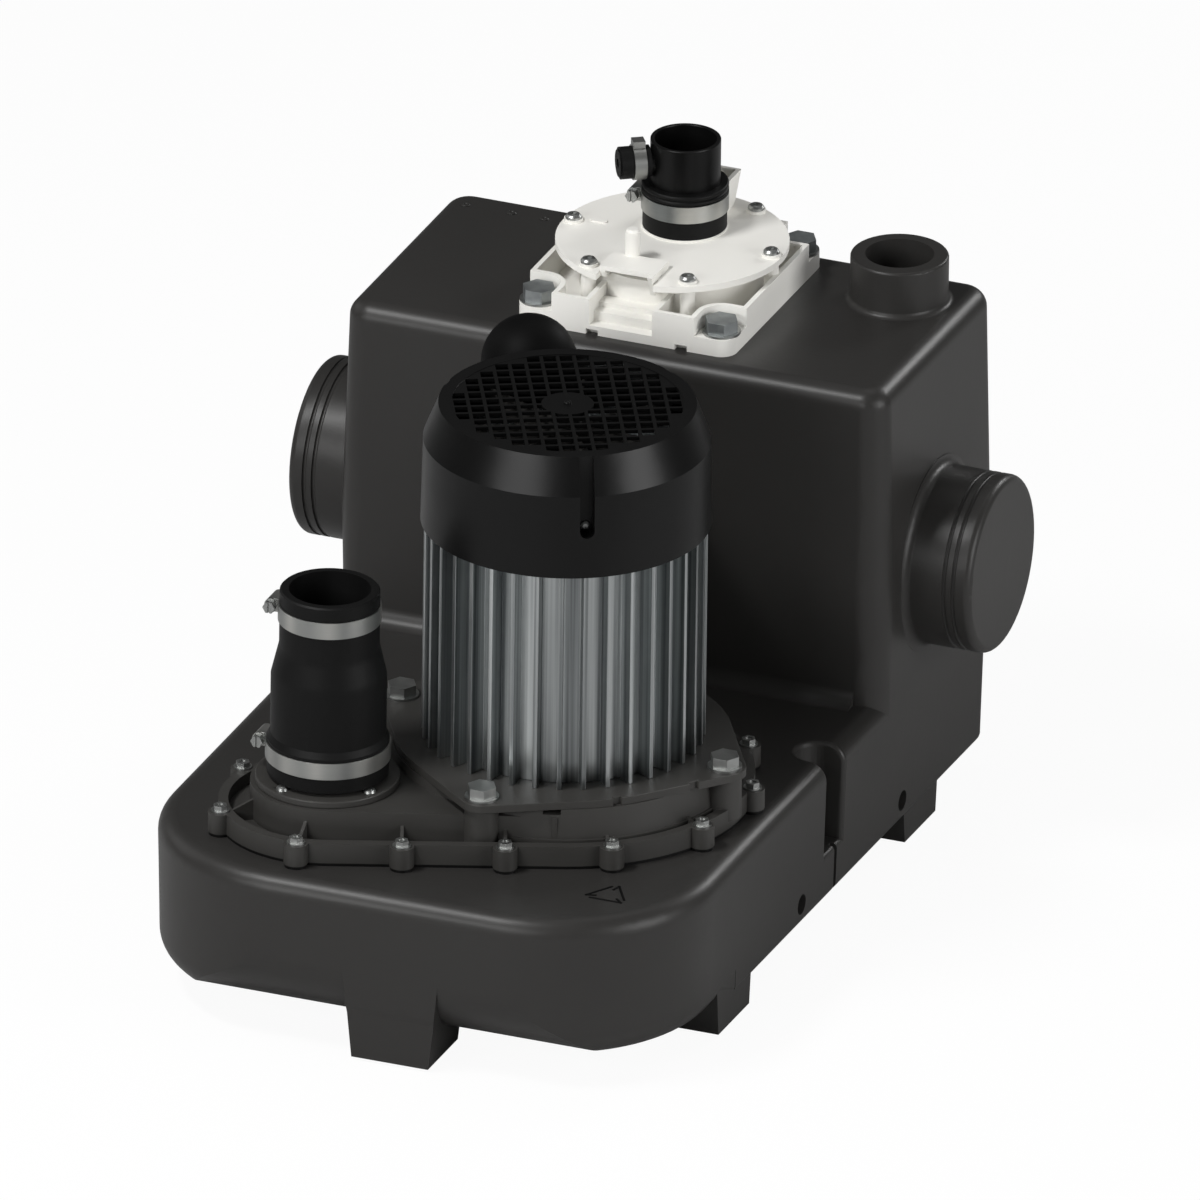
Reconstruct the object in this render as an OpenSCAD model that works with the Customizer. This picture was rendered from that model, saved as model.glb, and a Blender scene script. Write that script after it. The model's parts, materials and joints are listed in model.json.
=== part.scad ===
// Macerator toilet pump: a moulded holding tank with a pump and its motor on the low deck,
// and a level sensor with a vent on the tall block.
// The origin is on the floor under the middle of the tank, +Z is up and the deck faces -Y.

/* [Tank] */
// Width of the tank over its side walls, at the parting line
tank_w = 359; // [340:1:380]
// Depth of the tank from front wall to rear wall, at the parting line
tank_d = 560; // [540:1:590]
// Height of the deck above the floor
deck_z = 112; // [108:1:124]
// Height of the tall block's top above the floor
block_z = 319; // [305:1:335]
// Depth of the tall block from its front wall to the rear wall
block_d = 190; // [182:1:205]
// Height of the tank's underside above the floor
foot_h = 19; // [15:1:22]
// Thickness of the moulded wall
wall_t = 5; // [4:0.5:6]
// Plan radius of the two front corners
front_r = 105; // [90:1:115]
// Rounding of the upper edges
edge_r = 12; // [9:0.5:13]
// Rounding of the lower edges at the front
belly_r = 18; // [10:1:24]
// Rounding of the lower edges at the sides and rear
heel_r = 5; // [2:0.5:5]
// Draft of the walls either way from the parting line, in degrees
draft_a = 1.5; // [0.5:0.25:2.5]

/* [Side spigots] */
// Outer radius of the closed side spigots
side_r = 55; // [50:0.5:56]
// Height of the side spigots' axis and of the parting line
side_z = 181; // [176:1:188]
// Distance of the side spigots' axis from the rear wall
side_back = 102; // [92:1:108]
// Reach of the side spigots past the parting line
side_reach = 43; // [38:1:50]

/* [Top inlet] */
// Outer radius of the top inlet
inlet_r = 30; // [28:0.5:32]
// Bore radius of the top inlet
inlet_bore_r = 21; // [18:0.5:24]
// Height of the top inlet above the block
inlet_h = 30; // [24:1:40]
// Distance of the top inlet from the side and rear walls
inlet_edge = 48; // [46:1:54]

/* [Pump cover] */
// Distance of the motor's axis to the right of the middle
motor_x = 43.5; // [38:0.5:46]
// Distance of the motor's axis behind the front wall
motor_in = 190; // [184:1:196]
// Distance of the outlet to the left of the motor's axis
outlet_left = 114; // [108:1:118]
// Distance of the outlet in front of the motor's axis
outlet_front = 99; // [94:1:102]
// Thickness of the cover's gasket
gasket_t = 2; // [1:0.5:3]
// Thickness of the cover's rim
rim_t = 13; // [11:0.5:16]
// Radius of the row of rim screws around the motor
rim_motor_r = 118; // [114:0.5:120]
// Radius of the row of rim screws around the outlet
rim_outlet_r = 67.5; // [65:0.5:69]
// Height of the pump body above the rim
body_h = 13; // [11:0.5:16]
// Height of the motor's drum above the pump body
drum_h = 6; // [5:0.5:9]

/* [Motor] */
// Outer radius over the fins
fin_r = 86; // [82:0.5:88]
// Depth of the fins
fin_d = 11; // [9:0.5:13]
// Number of fins
fin_n = 36; // [30:1:40]
// Length of the finned frame
frame_h = 165; // [150:1:180]
// Radius of the bolt circle
bolt_circle_r = 109.5; // [107:0.5:112]
// Turn of the bolt circle about the motor's axis, in degrees
bolt_turn = -5; // [-10:1:10]
// Height of the fan cover over all
fan_cover_h = 76.5; // [70:0.5:90]
// Radius of the motor shaft
shaft_r = 8.5; // [8:0.25:9]
// Spacing of the square holes in the fan grille
grille_pitch = 10; // [9:0.5:12]
// Width of the ribs in the fan grille
grille_rib = 2.2; // [1.8:0.1:3]

/* [Outlet] */
// Radius of the outlet flange
flange_r = 44; // [42:0.5:45]
// Bore radius of the rubber sleeve, for the discharge pipe
sleeve_bore_r = 25; // [24:0.25:26]
// Wall of the rubber sleeve at its top
sleeve_t = 5.5; // [4.5:0.25:6.5]
// Height of the rubber sleeve
sleeve_h = 120; // [112:1:130]
// Radius of the flanged spigot's outside
stub_r = 30; // [29:0.5:31]

/* [Level sensor] */
// Distance of the sensor base's middle from the rear wall
sensor_back = 94; // [90:1:97]
// Width of the sensor base, side to side
sensor_w = 141; // [138:1:146]
// Depth of the sensor base, front to back
sensor_d = 153; // [150:1:158]
// Height of the sensor base's walls
sensor_h = 23; // [20:0.5:28]
// Radius of the round lid
lid_r = 71; // [69:0.5:73]
// Height of the lid's top above the block
lid_h = 34; // [31:0.5:40]

/* [Vent] */
// Distance of the vent behind the middle of the sensor base
vent_behind = 24; // [20:1:27]
// Outer radius of the vent pipe
vent_r = 21.5; // [20:0.5:23]
// Height of the vent's top above the lid
vent_h = 58.5; // [52:0.5:70]
// Direction in which the vent's side stub points, in degrees
stub_turn = 214; // [200:1:230]

/* [Hidden] */
$fn = 72;
eps = 0.01;
// Clearance between pieces that drop into each other, a running fit, and a loose gap
fit = 0.1;
run = 0.05;
gap = 0.3;
// Roundings stand this much proud of the flats they run into, so that the two cross cleanly
nip = 0.02;

// Whole tenths, for faces that must meet
function tenth(v) = round(v * 10) / 10;

// Places that follow from the sizes above
motor_y = motor_in - tank_d / 2;
side_y = tank_d / 2 - side_back;
block_y = tank_d / 2 - block_d;
inlet_x = tank_w / 2 - inlet_edge;
inlet_y = tank_d / 2 - inlet_edge;
sensor_y = tank_d / 2 - sensor_back;
outlet = [-outlet_left, -outlet_front];
cover_z = deck_z + gasket_t;
rim_z = cover_z + rim_t;
body_z = rim_z + body_h;
drum_z = body_z + drum_h;

// The upright corners are wider than the rounding that runs over them
block_r = tenth(edge_r / cos(draft_a) + wall_in(block_z - edge_r) + 4);
// The front wall would reach the full depth at the parting line, above the deck, so it's set forward
front_y = -tank_d / 2 - tenth(wall_in(deck_z - edge_r));

// Edge of the pump body and its drum, and of what is inside the deck's opening
body_outlet_r = flange_r + 3;
drum_r = bolt_circle_r - 5.5;
rim_boss_r = 7.5;
rim_screw_r = 2.5;
hole_outlet_r = rim_outlet_r - 17.5;
hole_motor_r = rim_motor_r - 18;
chamber_r = 62;
chamber_roof = 8;
seal_r = 14;

// Motor: the lower shield, the frame, the upper shield, the fan and its cover stand on each other
shield_t = 5;
shield_r = drum_r - 1.5;
lug_r = 13;
lug_boss_r = 10.5;
bolt_r = 5;
bolt_head_r = 9.2;
bolt_head_h = 6.5;
washer_t = 1.5;
frame_z = drum_z + shield_t;
frame_top = frame_z + frame_h;
frame_wall = 5;
core_r = fin_r - fin_d - frame_wall;
core_h = 90;
core_z = frame_z + 39;
rotor_r = 44.5;
air_gap = 0.5;
coil_h = 18;
bearing_r = 20;
bearing_t = 12;
lower_bearing_z = drum_z + 10;
upper_shield_h = 20;
upper_bearing_z = frame_top + 2;
fan_cover_r = fin_r + 2.4;
fan_cover_t = 1.8;
fan_cover_z = frame_top + upper_shield_h + 33.5 - fan_cover_h;
fan_cover_top = fan_cover_z + fan_cover_h;
fan_z = frame_top + upper_shield_h + 4;
fan_h = 16;
recess_r = fin_r - 8.5;
cover_screw_z = frame_top + 7.5;
shaft_top = fan_z + fan_h + 3;

// Wet end under the cover
plate_t = 8;
plate_z = cover_z - plate_t;
eye_r = 30;
impeller_r = 56;
impeller_z = cover_z + 2;
cutter_z = plate_z - 26;
basket_r = 44;
basket_t = 5;
basket_h = 46;
nut_z = cutter_z - 9;

// Outlet: the flange, its spigot and the sleeve
flange_t = 4.5;
flange_top = body_z + flange_t;
sleeve_z = flange_top + 2.5;
sleeve_top = sleeve_z + sleeve_h;
sleeve_r = sleeve_bore_r + sleeve_t;
sleeve_low_r = stub_r + 5.3;
stub_h = 34;
stub_t = 4;
clamp_w = 10.7;
clamp_swell = 1.9;
band_t = 1;
low_clamp_z = sleeve_z + 9.5;
high_clamp_z = sleeve_top - 20;
seat_z = flange_top + stub_h;
flap_open = 60;

// Level sensor and vent
lug_x = sensor_w / 2 - 11;
lug_y = sensor_d / 2 - 12.5;
pocket_z = block_z + 11;
sensor_wall = 3;
sensor_top = block_z + sensor_h;
lid_z = block_z + lid_h;
lid_t = 4;
lid_screw_r = lid_r - 6.5;
lid_in_y = 4;
chamber_out_r = 56;
hole_sensor_r = 48;
tube_r = 40;
tube_t = 3;
vent_y = vent_behind - lid_in_y;
vent_neck_r = vent_r;
vent_sleeve_r = vent_r + 4.2;
vent_sleeve_h = 29;
vent_top = lid_z + vent_h;
stub_axis_z = vent_top - 13.5;
stub_pipe_r = 7.5;
stub_end = 42;

module tank_colour() { color([0.16, 0.155, 0.15]) children(); }
module black() { color([0.09, 0.09, 0.095]) children(); }
module rubber() { color([0.06, 0.06, 0.065]) children(); }
module steel() { color([0.68, 0.69, 0.7]) children(); }
module bright() { color([0.78, 0.79, 0.8]) children(); }
module alloy() { color([0.6, 0.61, 0.62]) children(); }
module white() { color([0.9, 0.89, 0.86]) children(); }
module copper() { color([0.7, 0.4, 0.2]) children(); }

module at_motor() { translate([motor_x, motor_y, 0]) children(); }
module at_outlet() { at_motor() translate([outlet.x, outlet.y, 0]) children(); }
module at_sensor() { translate([0, sensor_y, 0]) children(); }
module at_lid() { at_sensor() translate([0, lid_in_y, 0]) children(); }
module both_sides() {
    children();
    mirror([1, 0, 0]) children();
}
module ring(outer, inner, h) {
    difference() {
        cylinder(r = outer, h = h);
        translate([0, 0, -1]) cylinder(r = inner, h = h + 2);
    }
}

// Tank
function wall_in(z) = abs(z - side_z) * tan(draft_a);
function lean(z) = [cos(draft_a), (z < side_z ? -1 : 1) * sin(draft_a)];
function arc_centre(r, z, arc) = [r - wall_in(z) - arc / cos(draft_a), z];

// Section of a wall that turns in at its top and bottom, outwards from a corner's axis
module wall_section(r, low, high, top_arc, low_arc) {
    top_c = arc_centre(r, high - top_arc, top_arc);
    low_c = arc_centre(r, low + low_arc, low_arc);
    intersection() {
        translate([0, low]) square([r + 1, high - low]);
        union() {
            polygon(concat(
                [[0, low], [low_c.x, low], low_c + low_arc * lean(low)],
                low < side_z && side_z < high ? [[r, side_z]] : [],
                [top_c + top_arc * lean(high)],
                top_c.x > eps ? [[top_c.x, high]] : [],
                [[0, high]]));
            translate(top_c) circle(top_arc + nip);
            translate(low_c) circle(low_arc + nip);
        }
    }
}

// The same wall along Y on the right, outwards from x, and along X at the rear, outwards from y
module side_wall(x, from_y, to_y) {
    translate([x, to_y, 0]) rotate([90, 0, 0]) linear_extrude(to_y - from_y) children();
}
module end_wall(y, half) {
    translate([-half, y, 0]) rotate([90, 0, 90]) linear_extrude(2 * half) children();
}
module corner_wall(x, y) {
    translate([x, y, 0]) rotate_extrude(angle = 90) children();
}

// Low body under the deck, which ends inside the tall body behind it
module low_body(shrink) {
    r = front_r - shrink;
    low = foot_h + shrink;
    high = deck_z - shrink;
    x = tank_w / 2 - front_r;
    y = front_y + front_r;
    rear = block_y + block_r + 6 - shrink;
    translate([-x, y - 1, low]) cube([2 * x, rear - y + 1, high - low]);
    mirror([0, 1, 0]) end_wall(-y, x) wall_section(r, low, high, edge_r - shrink, belly_r - shrink);
    both_sides() {
        mirror([0, 1, 0]) corner_wall(x, -y) wall_section(r, low, high, edge_r - shrink, belly_r - shrink);
        side_wall(x, y, side_feet[0]) wall_section(r, low, high, edge_r - shrink, belly_r - shrink);
        side_wall(x, side_feet[0], rear) wall_section(r, low, high, edge_r - shrink, max(heel_r - shrink, 1));
    }
}

// Tall body with equal upright corners
module tall_body(shrink) {
    r = block_r - shrink;
    low = foot_h + shrink;
    high = block_z - shrink;
    x = tank_w / 2 - block_r;
    y = tank_d / 2 - block_r;
    middle = tank_d / 2 - block_d / 2;
    half = block_d / 2 - block_r;
    translate([-x, middle - half - 1, low]) cube([2 * x, 2 * half + 2, high - low]);
    translate([0, middle, 0]) for (m = [0, 1]) mirror([0, m, 0]) {
        end_wall(half, x) wall_section(r, low, high, edge_r - shrink, max(heel_r - shrink, 1));
        both_sides() corner_wall(x, half) wall_section(r, low, high, edge_r - shrink, max(heel_r - shrink, 1));
    }
    both_sides() side_wall(x, middle - half, middle + half)
        wall_section(r, low, high, edge_r - shrink, max(heel_r - shrink, 1));
}

// Concave strip along X in the angle between the deck and the block
module deck_fillet(r, length) {
    translate([-length / 2, block_y + wall_in(deck_z + r), deck_z]) rotate([90, 0, 90]) linear_extrude(length)
        difference() {
            translate([-r, -r / 2]) square([r * 1.4, r * 1.5]);
            translate([-r, r]) circle(r + nip);
        }
}

// Round bar whose far end has a rounded edge
module round_end(r, h, edge) {
    rotate_extrude() intersection() {
        square([r, h]);
        union() {
            square([r - edge, h]);
            square([r, h - edge]);
            translate([r - edge, h - edge]) circle(edge + nip);
        }
    }
}

// Spigot that is closed until it is cut open, with two grooves near its end
module side_spigot() {
    reach = tank_w / 2 + side_reach;
    groove = [reach - 11, reach - 17];
    translate([0, side_y, side_z]) rotate([0, 90, 0]) difference() {
        union() {
            translate([0, 0, tank_w / 2 - 12]) round_end(side_r, side_reach + 12, 5);
            translate([0, 0, tank_w / 2 - 1]) rotate_extrude() difference() {
                translate([side_r - 3, -6]) square([9, 12]);
                translate([side_r + 6, 6]) circle(6 + nip);
            }
        }
        for (g = groove) translate([0, 0, g]) rotate_extrude()
            translate([side_r, 0]) circle(1.4, $fn = 24);
    }
}

module top_inlet() {
    translate([inlet_x, inlet_y, block_z]) {
        translate([0, 0, -wall_t]) round_end(inlet_r, inlet_h + wall_t, 2);
        rotate_extrude() difference() {
            translate([inlet_r - 2, -2]) square([6, 6]);
            translate([inlet_r + 4, 4]) circle(4 + nip);
        }
    }
}

foot_x = 7;
foot_w = 50;
foot_l = 49;
pad_h = 2;
pad_r = 12;
side_feet = [-tank_d / 2 + 144.5, tank_d / 2 - 112];
module foot(w, l) {
    translate([0, 0, pad_h]) rotate([90, 0, 0]) translate([0, 0, -l / 2]) linear_extrude(l)
        polygon([[-w / 2, 0], [w / 2, 0], [w / 2 + 4, foot_h + belly_r], [-w / 2 - 4, foot_h + belly_r]]);
    cylinder(r = pad_r, h = pad_h + 1);
}
module feet() {
    translate([foot_x, front_y + wall_in(0) + foot_l / 2, 0]) foot(foot_w, foot_l);
    both_sides() for (y = side_feet)
        translate([tank_w / 2 - wall_in(0) - foot_l / 2, y, 0]) rotate([0, 0, 90]) foot(foot_w, foot_l);
}

notch_y = -tank_d / 2 + 302;
notch_w = 27;
notch_in = 28;
notch_z = deck_z - 62;
seam_w = 4;
module notch(grow) {
    r = notch_w / 2 + grow;
    reach = tank_w / 2 - notch_in;
    translate([0, notch_y, notch_z - grow]) {
        translate([reach + notch_w / 2, 0, 0]) cylinder(r = r, h = deck_z);
        translate([reach + notch_w / 2, nip - r, 0]) cube([notch_in, 2 * (r - nip), deck_z]);
    }
}

fix_span = 164;
fix_y = -tank_d / 2 + 334;
fix_z = foot_h + 14;
fix_r = 6.5;
fix_depth = 14;
module fixing_holes(r, depth) {
    for (s = [-0.5, 0.5]) translate([tank_w / 2, fix_y + s * fix_span, fix_z])
        rotate([0, -90, 0]) translate([0, 0, -3]) cylinder(r = r, h = depth + 3);
}

module tank_cavity() {
    difference() {
        union() {
            low_body(wall_t);
            tall_body(wall_t);
            both_sides() translate([0, side_y, side_z]) rotate([0, 90, 0])
                cylinder(r = side_r - wall_t, h = tank_w / 2 + side_reach - wall_t);
        }
        at_motor() translate([0, 0, deck_z - wall_t - 9])
            linear_extrude(wall_t + 9) egg(rim_motor_r + 9, rim_outlet_r + 9);
        both_sides() {
            notch(wall_t);
            fixing_holes(fix_r + wall_t, fix_depth + wall_t);
        }
        at_sensor() for (x = [-lug_x, lug_x], y = [-lug_y, lug_y])
            translate([x, y, block_z - wall_t - 16]) cylinder(r = 11, h = wall_t + 16);
    }
}
module tank() {
    tank_colour() difference() {
        union() {
            low_body(0);
            tall_body(0);
            deck_fillet(11, tank_w - 2 * block_r);
            both_sides() side_spigot();
            top_inlet();
            feet();
        }
        tank_cavity();
        both_sides() {
            notch(0);
            translate([tank_w / 2 - 8, notch_y + 2, 0]) cube([20, seam_w, notch_z + 1]);
            fixing_holes(fix_r, fix_depth);
        }
        translate([inlet_x, inlet_y, block_z - wall_t - 1]) cylinder(r = inlet_bore_r, h = inlet_h + wall_t + 2);
        at_motor() {
            translate([0, 0, deck_z - wall_t - 10]) linear_extrude(wall_t + 11) egg(hole_motor_r, hole_outlet_r);
            for (p = rim_points()) translate([p.x, p.y, deck_z - 11]) cylinder(r = rim_screw_r + fit, h = 12);
        }
        at_sensor() {
            for (x = [-lug_x, lug_x], y = [-lug_y, lug_y])
                translate([x, y, block_z - 15]) cylinder(r = bolt_r + fit, h = 16);
            translate([0, lid_in_y, block_z - wall_t - 1]) cylinder(r = hole_sensor_r, h = wall_t + 2);
        }
    }
}

// Pump cover: two circles joined by their outer tangents, about the motor and about the outlet
function axis_len() = norm(outlet);
function axis_dir() = atan2(-outlet.y, -outlet.x);
function tangent_dir(rm, ro, side) = axis_dir() + side * acos((ro - rm) / axis_len());
function polar(r, a) = r * [cos(a), sin(a)];
module egg(rm, ro) {
    front = tangent_dir(rm, ro, -1);
    rear = tangent_dir(rm, ro, 1);
    circle(rm, $fn = 144);
    translate(outlet) circle(ro, $fn = 96);
    polygon([outlet + polar(ro - nip, front), polar(rm - nip, front), polar(rm - nip, rear), outlet + polar(ro - nip, rear)]);
}
motor_side_n = 7;
outlet_side_n = 3;
function between(a, b, t) = a + (b - a) * t;
function rim_points(rm = rim_motor_r, ro = rim_outlet_r) =
    let (front = tangent_dir(rm, ro, -1), rear = tangent_dir(rm, ro, 1))
    concat(
        [for (i = [0:motor_side_n - 1]) polar(rm, between(front + 15, rear - 18, i / (motor_side_n - 1)))],
        [for (i = [0:outlet_side_n - 1])
            outlet + polar(ro, between(rear + 10.5, front + 344, i / (outlet_side_n - 1)))],
        [for (t = [0.32, 0.76]) between(outlet + polar(ro, front), polar(rm, front), t)],
        [for (t = [0.35, 0.8]) between(outlet + polar(ro, rear), polar(rm, rear), t)]);
// Directions in which the rim screws stand off the body, in the order of rim_points
function rim_dirs() =
    let (front = tangent_dir(rim_motor_r, rim_outlet_r, -1), rear = tangent_dir(rim_motor_r, rim_outlet_r, 1))
    concat(
        [for (i = [0:motor_side_n - 1]) between(front + 15, rear - 18, i / (motor_side_n - 1))],
        [for (i = [0:outlet_side_n - 1]) between(rear + 10.5, front + 344, i / (outlet_side_n - 1))],
        [front, front, rear, rear]);
function lug_points() = [for (i = [0:3]) polar(bolt_circle_r, bolt_turn + 90 * i)];

module cover_gasket() {
    rubber() at_motor() translate([0, 0, deck_z]) linear_extrude(gasket_t) difference() {
        union() {
            egg(rim_motor_r - 2, rim_outlet_r - 2);
            for (p = rim_points()) translate(p) circle(rim_boss_r - 0.5);
        }
        egg(hole_motor_r + 1, hole_outlet_r + 1);
        for (p = rim_points()) translate(p) circle(rim_screw_r + fit, $fn = 24);
    }
}

groove_d = 8;
// Thin webs across the groove, from each rim screw up to the body
module rim_webs() {
    for (i = [0:len(rim_points()) - 1]) translate([rim_points()[i].x, rim_points()[i].y, rim_z])
        rotate([90, 0, rim_dirs()[i]]) translate([0, 0, -1]) linear_extrude(2)
            polygon([[-24, -groove_d - 1], [-3, -groove_d - 1], [-3, -1], [-6, -1], [-24, 7]]);
}
module casing_cover() {
    black() at_motor() difference() {
        union() {
            translate([0, 0, cover_z]) {
                linear_extrude(rim_t) egg(rim_motor_r - 1.5, rim_outlet_r - 1.5);
                for (p = rim_points()) translate([p.x, p.y, 0]) cylinder(r = rim_boss_r, h = rim_t);
                linear_extrude(rim_t + body_h) egg(drum_r - 2, body_outlet_r);
                cylinder(r1 = drum_r + 3, r2 = drum_r - 0.5, h = rim_t + body_h + drum_h);
            }
            for (p = lug_points()) translate([p.x, p.y, rim_z - groove_d])
                cylinder(r = lug_boss_r, h = drum_z - rim_z + groove_d);
            rotate(-71) translate([drum_r - 4, -1.5, rim_z - groove_d]) cube([5.5, 3, groove_d + 14]);
            rim_webs();
        }
        difference() {
            translate([0, 0, rim_z - groove_d]) linear_extrude(groove_d + 1)
                egg(rim_motor_r - 7.5, rim_outlet_r - 7.5);
            translate([0, 0, rim_z - groove_d - 1]) {
                linear_extrude(groove_d + 3) egg(drum_r - 2, body_outlet_r);
                cylinder(r = drum_r + 3, h = groove_d + 3);
                for (p = lug_points()) translate([p.x, p.y, 0]) cylinder(r = lug_boss_r, h = groove_d + 3);
                for (p = rim_points()) translate([p.x, p.y, 0]) cylinder(r = rim_boss_r, h = groove_d + 3);
            }
            rim_webs();
        }
        translate([0, 0, cover_z - 1]) {
            cylinder(r = chamber_r, h = drum_z - chamber_roof - cover_z + 1);
            linear_extrude(body_z - 6 - cover_z) channel_shape();
            translate([outlet.x, outlet.y, 0]) cylinder(r = stub_r - stub_t, h = rim_t + body_h + 2);
            for (p = rim_points()) translate([p.x, p.y, 0]) cylinder(r = rim_screw_r + fit, h = rim_t + 2, $fn = 32);
            for (p = plate_points()) translate([p.x, p.y, 0]) cylinder(r = 2 + fit, h = 12, $fn = 32);
        }
        translate([0, 0, drum_z - chamber_roof - 1]) cylinder(r = seal_r, h = chamber_roof + 2);
        for (p = lug_points()) translate([p.x, p.y, drum_z - 16]) cylinder(r = bolt_r + fit, h = 17);
        for (p = flange_points()) translate([p.x, p.y, body_z - 10]) cylinder(r = 2 + fit, h = 11, $fn = 32);
        rotate(-72) translate([drum_r - 8, -5.5, drum_z - 3.5]) cube([12, 11, 4]);
    }
}
// Passage from the pump chamber to the outlet, along the front tangent
channel_w = 44;
module channel_shape() {
    front = tangent_dir(chamber_r, channel_w / 2, -1);
    a = polar(chamber_r, front);
    b = outlet + polar(channel_w / 2, front);
    polygon([a, b, b - polar(channel_w, front), a - polar(channel_w, front)]);
}
module cover_screws() {
    steel() at_motor() for (p = rim_points()) translate([p.x, p.y, 0]) {
        translate([0, 0, deck_z - 10]) cylinder(r = rim_screw_r, h = rim_z - deck_z + 11, $fn = 32);
        translate([0, 0, rim_z]) hex_flange_head(4.4, 5.6, 4);
    }
}
// Small hexagon head on a round flange
module hex_flange_head(across_r, flange, h) {
    cylinder(r = flange, h = 1, $fn = 32);
    difference() {
        cylinder(r = across_r, h = h, $fn = 6);
        translate([0, 0, h - 0.8]) cylinder(r = across_r * 0.5, h = 1, $fn = 24);
    }
}

function ring_points(r, n, turn) = [for (i = [0:n - 1]) polar(r, turn + 360 * i / n)];
function plate_points() = [for (i = [0:6]) polar(hole_motor_r - 12, 45 * i - 90)];
function basket_points() = [for (i = [0:3]) polar(basket_r + 6, 45 + 90 * i)];
module volute_plate() {
    black() at_motor() translate([0, 0, plate_z]) difference() {
        linear_extrude(plate_t) egg(hole_motor_r - 1.5, hole_outlet_r - 1.5);
        translate([0, 0, -1]) cylinder(r = eye_r, h = plate_t + 2);
        for (p = plate_points())
            translate([p.x, p.y, -1]) cylinder(r = 2 + fit, h = plate_t + 2, $fn = 32);
        for (p = basket_points())
            translate([p.x, p.y, -1]) cylinder(r = 2 + fit, h = plate_t + 2, $fn = 32);
    }
}
module volute_screws() {
    steel() at_motor() {
        for (p = plate_points()) translate([p.x, p.y, plate_z - 3]) {
            cylinder(r = 3.6, h = 3, $fn = 32);
            cylinder(r = 2, h = plate_t + 12, $fn = 32);
        }
        for (p = basket_points()) translate([p.x, p.y, plate_z - 7]) {
            cylinder(r = 3.6, h = 3, $fn = 32);
            cylinder(r = 2, h = plate_t + 5, $fn = 32);
        }
    }
}
slot_n = 24;
module strainer_basket() {
    steel() at_motor() translate([0, 0, plate_z - basket_h]) difference() {
        union() {
            cylinder(r = basket_r, h = basket_h);
            translate([0, 0, basket_h - 4]) cylinder(r = basket_r + 11, h = 4);
        }
        translate([0, 0, 4]) cylinder(r = basket_r - basket_t, h = basket_h - 8);
        translate([0, 0, 5]) cylinder(r = eye_r, h = basket_h);
        for (i = [0:slot_n - 1]) rotate(i * 360 / slot_n)
            translate([basket_r - basket_t - 2, -2.2, 8]) cube([basket_t + 4, 4.4, basket_h - 18]);
        for (p = basket_points()) translate([p.x, p.y, basket_h - 5]) cylinder(r = 2 + fit, h = 6, $fn = 32);
    }
}
module shaft_seal() {
    rubber() at_motor() translate([0, 0, drum_z - chamber_roof]) ring(seal_r - run, shaft_r + run, chamber_roof - 1);
}

// Outlet
function flange_points() = [for (i = [0:3]) outlet + polar(37.3, -25.5 + 90 * i)];
module outlet_flange() {
    black() at_outlet() difference() {
        union() {
            translate([0, 0, body_z]) cylinder(r = flange_r, h = flange_t);
            translate([0, 0, flange_top - 1]) cylinder(r = stub_r, h = stub_h + 1);
            translate([0, 0, flange_top + stub_h - 8]) rotate_extrude()
                polygon([[stub_r - 1, -3], [stub_r, -3], [stub_r + 1.2, 0], [stub_r, 3], [stub_r - 1, 3]]);
        }
        translate([0, 0, body_z - 1]) cylinder(r = stub_r - stub_t, h = flange_t + stub_h + 2);
        for (p = flange_points()) translate([p.x - outlet.x, p.y - outlet.y, body_z - 1])
            cylinder(r = 2 + fit, h = flange_t + 2, $fn = 32);
    }
}
module flange_screws() {
    steel() at_motor() for (p = flange_points()) translate([p.x, p.y, 0]) {
        translate([0, 0, body_z - 9]) cylinder(r = 2, h = flange_t + 10, $fn = 32);
        translate([0, 0, flange_top]) rotate_extrude() polygon([[0, 0], [4, 0], [3.4, 1.5], [2, 2.1], [0, 2.2]]);
    }
}
// Non-return valve in the sleeve: a ring seat on the spigot and a flap hinged at its rear edge
seat_t = 5;
seat_bore_r = 19;
flap_r = 21.5;
flap_t = 3;
pin_r = 1.5;
hinge_y = 23.5;
hinge_z = seat_z + seat_t + 3;
module valve_seat() {
    black() at_outlet() {
        translate([0, 0, seat_z]) ring(stub_r - 0.5, seat_bore_r, seat_t);
        for (s = [-1, 1]) translate([s * 8.5, hinge_y, seat_z + seat_t - 0.5]) difference() {
            translate([-1.5, -3, 0]) cube([3, 6, 6.5]);
            translate([0, 0, 3.5]) rotate([0, 90, 0]) cylinder(r = pin_r + fit, h = 8, center = true);
        }
    }
}
module flap_pin() {
    steel() at_outlet() translate([-10, hinge_y, hinge_z]) rotate([0, 90, 0]) cylinder(r = pin_r, h = 20);
}
module valve_flap() {
    rubber() at_outlet() difference() {
        union() {
            translate([0, 0, seat_z + seat_t + gap]) cylinder(r = flap_r, h = flap_t);
            translate([0, 0, seat_z + seat_t + gap + flap_t - 1]) cylinder(r = flap_r - 5, h = 3);
            translate([-6.5, flap_r - 6, seat_z + seat_t + gap + 1]) cube([13, hinge_y - flap_r + 6, 4]);
            translate([-6.5, hinge_y, hinge_z]) rotate([0, 90, 0]) cylinder(r = pin_r + 1.2, h = 13);
        }
        translate([-9, hinge_y, hinge_z]) rotate([0, 90, 0]) cylinder(r = pin_r + run, h = 18);
        for (s = [-1, 1]) translate([s * 8.5 - 1.8, hinge_y - 4.7, seat_z + seat_t]) cube([3.6, 8, 3.5]);
    }
}
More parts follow.
